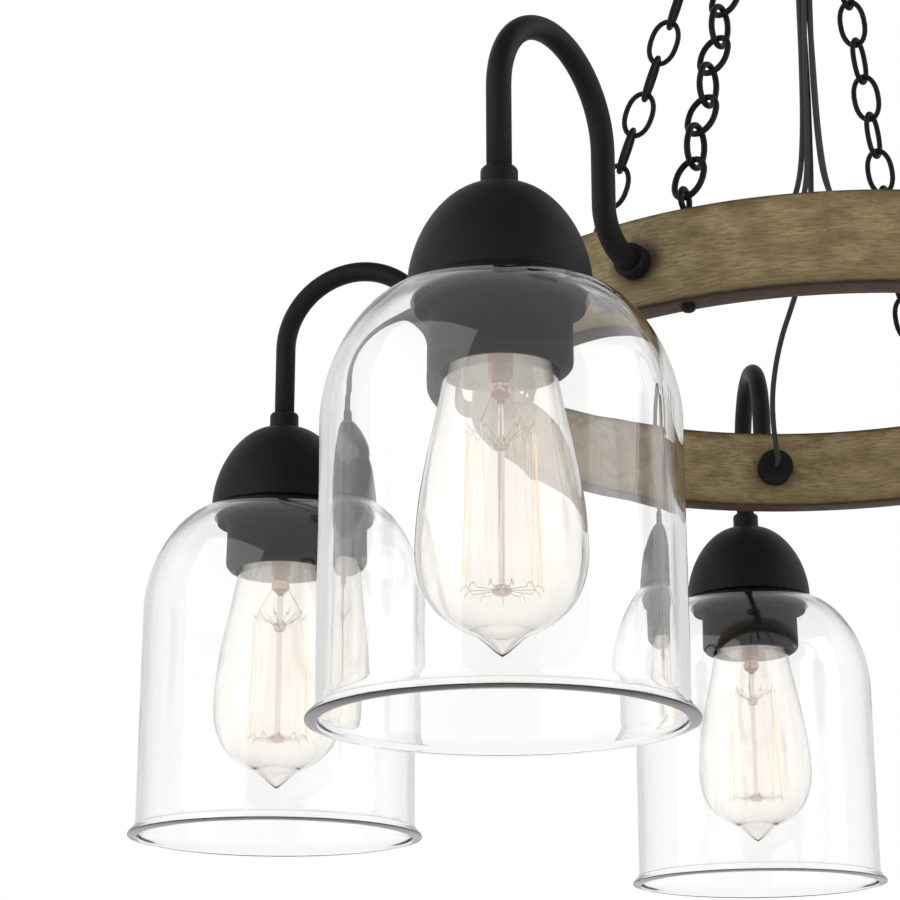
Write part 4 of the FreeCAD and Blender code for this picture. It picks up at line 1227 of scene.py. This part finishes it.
class CHANDELIER_OT_chains(Operator):
    """Bends the links of the hoop's chains and of the suspension chain"""

    bl_idname = "chandelier.chains"
    bl_label = "Chains"

    def execute(self, context):
        scene = context.scene
        sizes = scene.chains
        low = Vector((bolt_radius(scene), 0, span("eye_bolts")[1] - eye_radius(scene)))
        high = Vector((hub_eye_reach(scene), 0, middle_of("hub")))
        along = (high - low).normalized()
        start = low + along * (scene.fittings.eye_hole - sizes.wire / 2 - sizes.play)
        links = self.run(sizes.wire, sizes.pitch, sizes.width, sizes.links, sizes.play, start, along)
        to_start = Matrix.Translation(start)
        for index, place in enumerate(chain_places()):
            twist = to_start @ Matrix.Rotation(CHAIN_TWISTS[index % 2], 4, along) @ to_start.inverted()
            chain = twin(links, "hoop_chain_%d" % (index + 1), place @ twist)
            fitted(chain, FIXTURE, *BLACK, "ring_chain_%d" % (index + 1))
        dropped(links)
        top = span("main_chain")[1] - sizes.drop_wire / 2
        drop = self.run(
            sizes.drop_wire, sizes.drop_pitch, sizes.drop_width, sizes.drop_links, sizes.play,
            Vector((0, 0, top)), Vector((0, 0, -1)),
        )
        drop.name = "drop_chain"
        fitted(drop, DROP_CHAIN, *BLACK, "main_chain")
        return {"FINISHED"}

    def link(self, wire, pitch, width, play):
        """A ring of wire pulled out into an oval link."""
        bend = (width - wire) / 2
        half = (pitch + wire + play) / 2 - bend
        segments, sides = 28, 12
        # Below 1 the link's sides run straighter, at 1 it is an ellipse
        fullness = 0.7
        deselect()
        bpy.ops.mesh.primitive_torus_add(
            major_segments=segments, minor_segments=sides, major_radius=bend, minor_radius=wire / 2,
        )
        piece = bpy.context.object
        upright = Matrix.Rotation(math.pi / 2, 4, "X") @ Matrix.Rotation(math.pi / segments, 4, "Z")
        placed(piece, upright)
        for ring in range(segments):
            rise = math.sin(2 * math.pi * (ring + 0.5) / segments)
            pull = half * math.copysign(abs(rise) ** fullness, rise)
            none_picked()
            for vertex in piece.data.vertices[ring * sides:(ring + 1) * sides]:
                vertex.select = True
            bpy.ops.object.mode_set(mode="EDIT")
            bpy.ops.transform.translate(value=(0, 0, pull))
            bpy.ops.object.mode_set(mode="OBJECT")
        bpy.ops.object.shade_smooth()
        return piece

    def run(self, wire, pitch, width, count, play, start, along):
        """Linked links, each turned a quarter from the one before."""
        pattern = self.link(wire, pitch, width, play)
        side = Vector((0, 1, 0))
        other = along.cross(side)
        places = []
        for index in range(count):
            across = side if index % 2 == 0 else other
            place = Matrix((across, along.cross(across), along)).transposed().to_4x4()
            place.translation = start + along * ((pitch + wire + play) / 2 + pitch * index)
            places.append(place)
        return joined("links", copied(pattern, "link", places))


class CHANDELIER_OT_fittings(Operator):
    """Makes the eye bolts, the hub and its eyes and loop"""

    bl_idname = "chandelier.fittings"
    bl_label = "Hub and eyes"

    def execute(self, context):
        scene = context.scene
        to_hoop = Matrix.Translation((bolt_radius(scene), 0, 0))
        bolts = round_chains(placed(self.bolt(scene), to_hoop), "hoop_eyes")
        fitted(bolts, FIXTURE, *BLACK, "eye_bolts")
        nuts = round_chains(placed(self.nut(scene), to_hoop), "hoop_eye_nuts")
        fitted(nuts, FIXTURE, *BLACK, "eye_nuts")
        fitted(self.hub(scene), FIXTURE, *BLACK, "hub")
        fitted(round_chains(self.side_eye(scene), "hub_side_eyes"), FIXTURE, *BLACK, "hub_eyes")
        fitted(self.top_loop(scene), FIXTURE, *BLACK, "hub_loop")
        return {"FINISHED"}

    def bolt(self, scene):
        """An eye on a shank, with a small shoulder where they meet."""
        sizes = scene.fittings
        low, high = span("eye_bolts")
        eye_out = eye_radius(scene)
        foot = high - 2 * eye_out
        half = sizes.shank / 2
        shoulder, end = 0.0010, foot + 0.0022
        shank = Outline([(0.0, low), (half - FINE_EDGE, low), (half, low + FINE_EDGE)])
        shank.line(half, foot - EDGE).line(half + shoulder, foot + FINE_EDGE)
        shank.line(half, end).line(0.0, end)
        eye = wire_ring(sizes.eye_hole, sizes.eye_wire, high - eye_out, "X")
        return combined(eye, turned("shank", shank, 32), "UNION")

    def nut(self, scene):
        """A domed nut under the hoop, bored from above."""
        sizes = scene.fittings
        low, high = span("eye_nuts")
        bore = sizes.shank / 2 + SEAT_GAP
        half = sizes.nut
        corner, grip = 0.0003, 0.0016
        floor = span("ring_band")[0] - grip - SEAT_GAP
        outline = Outline([(0.0, floor), (bore, floor), (bore, high), (half - corner, high)])
        outline.line(half, high - corner).line(half, floor).quarter(0.0, low, True, 8)
        return turned("nut", outline, 40)

    def hub(self, scene):
        """The turned hub: two grooves, a gland for the leads below, and bores for its loop and side eyes."""
        sizes = scene.fittings
        low, high = span("hub")
        outer, end_round = sizes.hub, sizes.hub_round
        gland = scene.leads.bundle + scene.leads.diameter / 2 + SLIP_GAP
        gland_top = low + 0.008
        stem = sizes.loop_stem + SEAT_GAP
        stem_floor = high - 0.0081
        outline = Outline([(0.0, gland_top), (gland, gland_top), (gland, low + EDGE)])
        outline.line(gland + EDGE, low).line(outer - end_round, low)
        outline.quarter(outer, low + end_round, False, 8)
        depth, mouth, floor, apart = 0.0005, 0.0008, 0.0004, 0.001
        for middle in ((2 * low + high) / 3 - apart, (low + 2 * high) / 3 + apart):
            outline.line(outer, middle - mouth).line(outer - depth, middle - floor)
            outline.line(outer - depth, middle + floor).line(outer, middle + mouth)
        outline.line(outer, high - end_round).quarter(outer - end_round, high, True, 8)
        outline.line(stem, high).line(stem, stem_floor).line(0.0, stem_floor)
        hub = turned("hub_body", outline, 80)
        drill = 0.02
        drill_x = outer - sizes.eye_root - SEAT_GAP + drill / 2
        holes = drills(
            sides=24, radius=sizes.shank / 2 + SEAT_GAP, depth=drill,
            spot=(drill_x, 0, middle_of("hub")), places=chain_places(), lying=True,
        )
        return combined(hub, joined("cutters", holes), "DIFFERENCE")

    def side_eye(self, scene):
        """An eye on a short shank with a washer face, screwed into the hub's side."""
        sizes = scene.fittings
        middle = middle_of("hub")
        half = sizes.shank / 2
        washer, end = half + 0.0008, 0.0022
        root = -sizes.eye_root
        shank = Outline([(0.0, root), (half, root), (half, 0.0)])
        shank.line(washer, 0.0002).line(washer, 0.0014).line(half, end).line(0.0, end)
        shank = placed(laid(turned("shank", shank, 32)), Matrix.Translation((sizes.hub, 0, middle)))
        eye = wire_ring(sizes.eye_hole, sizes.eye_wire, middle, "X")
        placed(eye, Matrix.Translation((hub_eye_reach(scene), 0, 0)))
        return combined(eye, shank, "UNION")

    def top_loop(self, scene):
        """The loop that the suspension chain holds, with its collar and its threaded stem."""
        sizes = scene.fittings
        low, high = span("hub_loop")
        seat = span("hub")[1] + SEAT_GAP
        top = seat + sizes.collar_height
        stem, collar = sizes.loop_stem, sizes.loop_collar
        turn = sizes.collar_turn
        outline = Outline([(0.0, low), (stem - FINE_EDGE, low), (stem, low + FINE_EDGE), (stem, seat)])
        outline.line(collar - EDGE, seat).line(collar, seat + EDGE).line(collar, top - turn)
        outline.quarter(collar - turn, top, True, 6).line(0.0, top)
        loop = wire_ring(sizes.loop_hole, sizes.loop_wire, high - sizes.loop_hole - sizes.loop_wire, "Y")
        combined(loop, turned("stem", outline, 48), "UNION")
        loop.name = "hub_top_loop"
        return loop


class CHANDELIER_OT_canopy(Operator):
    """Makes the ceiling canopy, its fluted collar and loop, and finishes the strap inside"""

    bl_idname = "chandelier.canopy"
    bl_label = "Ceiling canopy"

    def execute(self, context):
        sizes = context.scene.canopy
        fitted(self.shell(sizes), CEILING, *BLACK, "canopy")
        fitted(self.grip(sizes), CEILING, *BLACK, "canopy_collar")
        fitted(self.loop(sizes, context.scene.fittings), CEILING, *BLACK, "canopy_loop")
        for node in ("mounting_strap", "nipple", "lock_nut"):
            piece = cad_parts[node]
            piece.data.materials.clear()
            piece.data.materials.append(finish("zinc_plate"))
        return {"FINISHED"}

    def shell(self, sizes):
        """The pressed canopy, open at the ceiling."""
        low, high = span("canopy")
        bore = sizes.neck + SLIP_GAP
        inside = low + sizes.wall
        inner = sizes.radius - sizes.wall
        lip = sizes.wall / 3
        outline = Outline([(sizes.radius - lip, high), (sizes.radius, high - lip)])
        outline.quarter(sizes.flat, low, True, 24).line(bore, low)
        outline.line(bore, inside).line(sizes.flat, inside)
        outline.quarter(inner, high - lip, False, 24).line(inner + lip, high)
        return turned("ceiling_canopy", outline, 128)

    def grip(self, sizes):
        """The screw collar, with flutes pressed in round it."""
        low, high = span("canopy_collar")
        outer = sizes.collar
        bore = sizes.neck + SEAT_GAP
        edge, skin, pressed = 0.0008, 0.0012, 0.945
        outline = Outline([(bore, low), (outer - edge, low), (outer, low + edge)])
        outline.line(outer, high - edge).line(outer - edge, high).line(bore, high)
        per_flute = 6
        columns = sizes.flutes * per_flute
        collar = turned("canopy_grip", outline, columns)
        none_picked()
        for vertex in collar.data.vertices:
            turn = math.atan2(vertex.co.y, vertex.co.x) / (2 * math.pi)
            in_flute = round(turn * columns) % per_flute in (0, 1)
            vertex.select = in_flute and vertex.co.xy.length > outer - skin
        bpy.ops.object.mode_set(mode="EDIT")
        bpy.ops.transform.resize(
            value=(pressed, pressed, 1.0), center_override=(0, 0, middle_of("canopy_collar")),
        )
        bpy.ops.object.mode_set(mode="OBJECT")
        bpy.ops.object.shade_smooth_by_angle(angle=FLUTE_CREASE)
        return collar

    def loop(self, sizes, fittings):
        """The loop under the canopy, with its collar and its threaded neck, bored from above."""
        low, high = span("canopy_loop")
        seat = span("canopy_collar")[0] - SEAT_GAP
        shoulder = seat - fittings.collar_height
        turn = fittings.collar_turn
        outer, neck = sizes.collar, sizes.neck
        nipple = 0.00495
        outline = Outline([(0.0, shoulder), (outer - turn, shoulder)])
        outline.quarter(outer, shoulder + turn, False, 6).line(outer, seat - EDGE)
        outline.line(outer - EDGE, seat).line(neck, seat).line(neck, high - EDGE)
        outline.line(neck - EDGE, high).line(nipple, high).line(nipple, seat).line(0.0, seat)
        neck = turned("neck", outline, 64)
        hole, wire = fittings.loop_hole, fittings.loop_wire
        loop = combined(wire_ring(hole, wire, low + hole + wire, "X"), neck, "UNION")
        loop.name = "canopy_hang_loop"
        return loop


class CHANDELIER_OT_leads(Operator):
    """Lays the five leads from the arms' bosses to the hub"""

    bl_idname = "chandelier.leads"
    bl_label = "Leads"

    def execute(self, context):
        sizes = context.scene.leads
        points = self.route(context.scene)
        for index, place in enumerate(light_places()):
            turn = place.to_3x3()
            name = "lead_%d" % (index + 1)
            line = bpy.data.curves.new(name, "CURVE")
            line.dimensions = "3D"
            line.bevel_depth = sizes.diameter / 2
            line.bevel_resolution = 3
            line.resolution_u = 10
            line.use_fill_caps = True
            spline = line.splines.new("NURBS")
            spline.points.add(len(points) - 1)
            for spot, point in zip(spline.points, points):
                spot.co = (*(turn @ point), 1.0)
            spline.order_u = 3
            spline.use_endpoint_u = True
            lead = bpy.data.objects.new(name, line)
            context.collection.objects.link(lead)
            fitted(lead, FIXTURE, "lead_cover", "lead_cover", "lead_wires")
        return {"FINISHED"}

    def route(self, scene):
        """A lead's points, out of its boss, up to the middle and in a slow turn to the hub's gland."""
        bundle = scene.leads.bundle
        arm_z = middle_of("ring_band")
        start = boss_inside(scene)
        route = [
            (start, 0.0, 0.0),
            (start - 0.0080, 0.0, 0.0),
            (start - 0.0170, 0.0020, 0.0035),
            (start - 0.0250, 0.0045, 0.0130),
            (start - 0.0305, 0.0055, 0.0275),
            (start - 0.0410, 0.0050, 0.0410),
            (start - 0.0620, 0.0040, 0.0520),
            (start - 0.0900, 0.0025, 0.0585),
            (start - 0.1150, 0.0008, 0.0675),
            (0.0160, 0.0, 0.0790),
            (0.0070, 0.0, 0.0970),
            (bundle + 0.0010, 0.0, 0.1250),
        ]
        points = [Vector((out, aside, arm_z + height)) for out, aside, height in route]
        climb = arm_z + 0.165
        end = span("hub")[0] + 0.006
        steps, step_turn = 4, math.radians(24.0)
        for step in range(steps + 1):
            spin = step_turn * step
            height = climb + (end - climb) * step / steps
            points.append(Vector((bundle * math.cos(spin), bundle * math.sin(spin), height)))
        return points


class CHANDELIER_OT_stage(Operator):
    """Sets the floor, the soft light and the camera"""

    bl_idname = "chandelier.stage"
    bl_label = "Stage"

    def execute(self, context):
        scene = context.scene
        setup = scene.studio
        scene.view_settings.view_transform = "Standard"
        self.camera(scene)
        self.floor(setup)
        self.world(scene, setup)
        left = Vector((FRONT.y, -FRONT.x, 0.0))
        for name, (aside, forward, height, width) in LAMPS.items():
            spot = LIT_MIDDLE + left * aside + FRONT * forward + Vector((0, 0, height))
            self.lamp(scene, name, spot, width, getattr(setup, name))
        return {"FINISHED"}

    def camera(self, scene):
        """The camera stands below the hoop and looks up."""
        data = bpy.data.cameras.new("camera")
        data.sensor_width = SENSOR_MM
        data.lens = LENS_MM
        data.clip_start = 0.01
        data.clip_end = 100.0
        camera = bpy.data.objects.new("camera", data)
        scene.collection.objects.link(camera)
        camera.location = (*CAMERA_PLACE, span("ring_band")[0] - CAMERA_DROP)
        heading = -FRONT * math.cos(CAMERA_PITCH)
        aim = Vector((heading.x, heading.y, math.sin(CAMERA_PITCH)))
        camera.rotation_euler = aim.to_track_quat("-Z", "Y").to_euler()
        scene.camera = camera

    def floor(self, setup):
        """A wide pale disc, lit near the middle and as white as the backdrop far out."""
        deselect()
        bpy.ops.mesh.primitive_circle_add(vertices=96, radius=FLOOR_RADIUS, fill_type="NGON")
        floor = bpy.context.object
        floor.name = "floor"
        placed(floor, Matrix.Translation((0, 0, setup.floor)))
        material, tree, shader = blank("pale_floor")
        shader.inputs["Base Color"].default_value = linear("#f4f4f3")
        shader.inputs["Roughness"].default_value = 0.9
        shader.inputs["Specular IOR Level"].default_value = 0.1
        place = add(tree, "ShaderNodeTexCoord").outputs["Object"]
        reach = add(tree, "ShaderNodeVectorMath", {0: place}, operation="LENGTH")
        far = add(
            tree, "ShaderNodeMapRange",
            {"Value": reach.outputs["Value"], "From Min": FLOOR_LIT, "From Max": FLOOR_WHITE},
            interpolation_type="SMOOTHSTEP",
        )
        white = add(tree, "ShaderNodeEmission", {"Strength": 1.0})
        both = add(
            tree, "ShaderNodeMixShader", {0: far.outputs[0], 1: shader.outputs[0], 2: white.outputs[0]},
        )
        tree.links.new(both.outputs[0], tree.nodes["Material Output"].inputs["Surface"])
        floor.data.materials.append(material)

    def world(self, scene, setup):
        """White where the camera, gloss and glass look, dimmer as light. As in a studio, the room is dark
        behind the camera for gloss, dim there and behind the object for reflections in glass, and dark
        overhead, where the edges of thick glass look."""
        world = bpy.data.worlds.new("studio")
        scene.world = world
        world.use_nodes = True
        tree = world.node_tree
        tree.nodes.clear()
        rays = add(tree, "ShaderNodeLightPath").outputs
        place = add(tree, "ShaderNodeTexCoord").outputs["Generated"]

        # Sharp rays have been reflected by glass, outside or inside it, and soft ones by all else
        bounced = add(tree, "ShaderNodeMath", {0: rays["Glossy Depth"], 1: 1.0}, operation="MINIMUM")
        sharp = add(
            tree, "ShaderNodeMath", {0: bounced.outputs[0], 1: rays["Is Singular Ray"]},
            operation="MULTIPLY",
        ).outputs[0]
        soft = add(
            tree, "ShaderNodeMath", {0: rays["Is Reflection Ray"], 1: sharp},
            operation="SUBTRACT", use_clamp=True,
        ).outputs[0]

        # Where the room is dark: which way, between which nearnesses, how dark, and for which rays
        room = Vector((*(FRONT.xy * math.cos(DARK_ROOM_TILT)), math.sin(DARK_ROOM_TILT)))
        overhead = Vector((0, 0, 1))
        dark = None
        for way, start, end, depth, ray in (
            (room, 0.35, 0.75, 1.0, soft),
            (room, 0.35, 0.75, 0.4, sharp),
            (-FRONT, 0.2, 0.7, 0.24, sharp),
            (overhead, 0.45, 0.70, 0.7, rays["Is Transmission Ray"]),
        ):
            near = add(tree, "ShaderNodeVectorMath", {0: place, 1: way}, operation="DOT_PRODUCT")
            zone = add(
                tree, "ShaderNodeMapRange",
                {"Value": near.outputs["Value"], "From Min": start, "From Max": end, "To Max": depth},
                interpolation_type="SMOOTHSTEP",
            )
            part = add(tree, "ShaderNodeMath", {0: zone.outputs[0], 1: ray}, operation="MULTIPLY").outputs[0]
            if dark is None:
                dark = part
            else:
                dark = add(tree, "ShaderNodeMath", {0: dark, 1: part}, operation="MAXIMUM").outputs[0]

        colour = add(
            tree, "ShaderNodeMix",
            {MIX_FACTOR: dark, MIX_A: linear("#ffffff"), MIX_B: linear("#443e37")}, data_type="RGBA",
        )
        seen = add(tree, "ShaderNodeBackground", {"Color": colour.outputs[MIX_OUT], "Strength": 1.0})
        light = add(tree, "ShaderNodeBackground", {"Color": linear("#ffffff"), "Strength": setup.fill})
        looks = rays["Is Camera Ray"]
        for ray in ("Is Glossy Ray", "Is Transmission Ray"):
            looks = add(tree, "ShaderNodeMath", {0: looks, 1: rays[ray]}, operation="MAXIMUM").outputs[0]
        both = add(tree, "ShaderNodeMixShader", {0: looks, 1: light.outputs[0], 2: seen.outputs[0]})
        output = add(tree, "ShaderNodeOutputWorld", {"Surface": both.outputs[0]})
        output.is_active_output = True

    def lamp(self, scene, name, spot, width, power):
        """A large soft lamp aimed at the fixture."""
        data = bpy.data.lights.new(name, "AREA")
        data.shape = "SQUARE"
        data.size = width
        data.energy = power
        lamp = bpy.data.objects.new(name, data)
        scene.collection.objects.link(lamp)
        lamp.location = spot
        lamp.rotation_euler = (LIT_MIDDLE - spot).to_track_quat("-Z", "Y").to_euler()
        lamp.visible_camera = False


OPERATORS = (
    CHANDELIER_OT_stage,
    CHANDELIER_OT_leads,
    CHANDELIER_OT_hoop,
    CHANDELIER_OT_arms,
    CHANDELIER_OT_lamp_heads,
    CHANDELIER_OT_shades,
    CHANDELIER_OT_bulbs,
    CHANDELIER_OT_chains,
    CHANDELIER_OT_fittings,
    CHANDELIER_OT_canopy,
)


class CHANDELIER_PT_sidebar(Panel):
    """Lists the chandelier's pieces and their sizes"""

    bl_idname = "CHANDELIER_PT_sidebar"
    bl_label = "Ring chandelier"
    bl_space_type = "VIEW_3D"
    bl_region_type = "UI"
    bl_category = "Chandelier"

    def draw(self, context):
        for operator in OPERATORS:
            self.layout.operator(operator.bl_idname)
        for name, group in GROUPS.items():
            box = self.layout.box()
            box.label(text=name.capitalize())
            for key in group.__annotations__:
                box.prop(getattr(context.scene, name), key)


CLASSES = (*GROUPS.values(), *OPERATORS, CHANDELIER_PT_sidebar)


def register():
    for cls in CLASSES:
        bpy.utils.register_class(cls)
    for name, group in GROUPS.items():
        setattr(bpy.types.Scene, name, PointerProperty(type=group))


def unregister():
    for name in GROUPS:
        delattr(bpy.types.Scene, name)
    for cls in reversed(CLASSES):
        bpy.utils.unregister_class(cls)


def main():
    register()
    for operator in OPERATORS:
        group, name = operator.bl_idname.split(".")
        getattr(getattr(bpy.ops, group), name)()


if __name__ == "__main__":
    main()
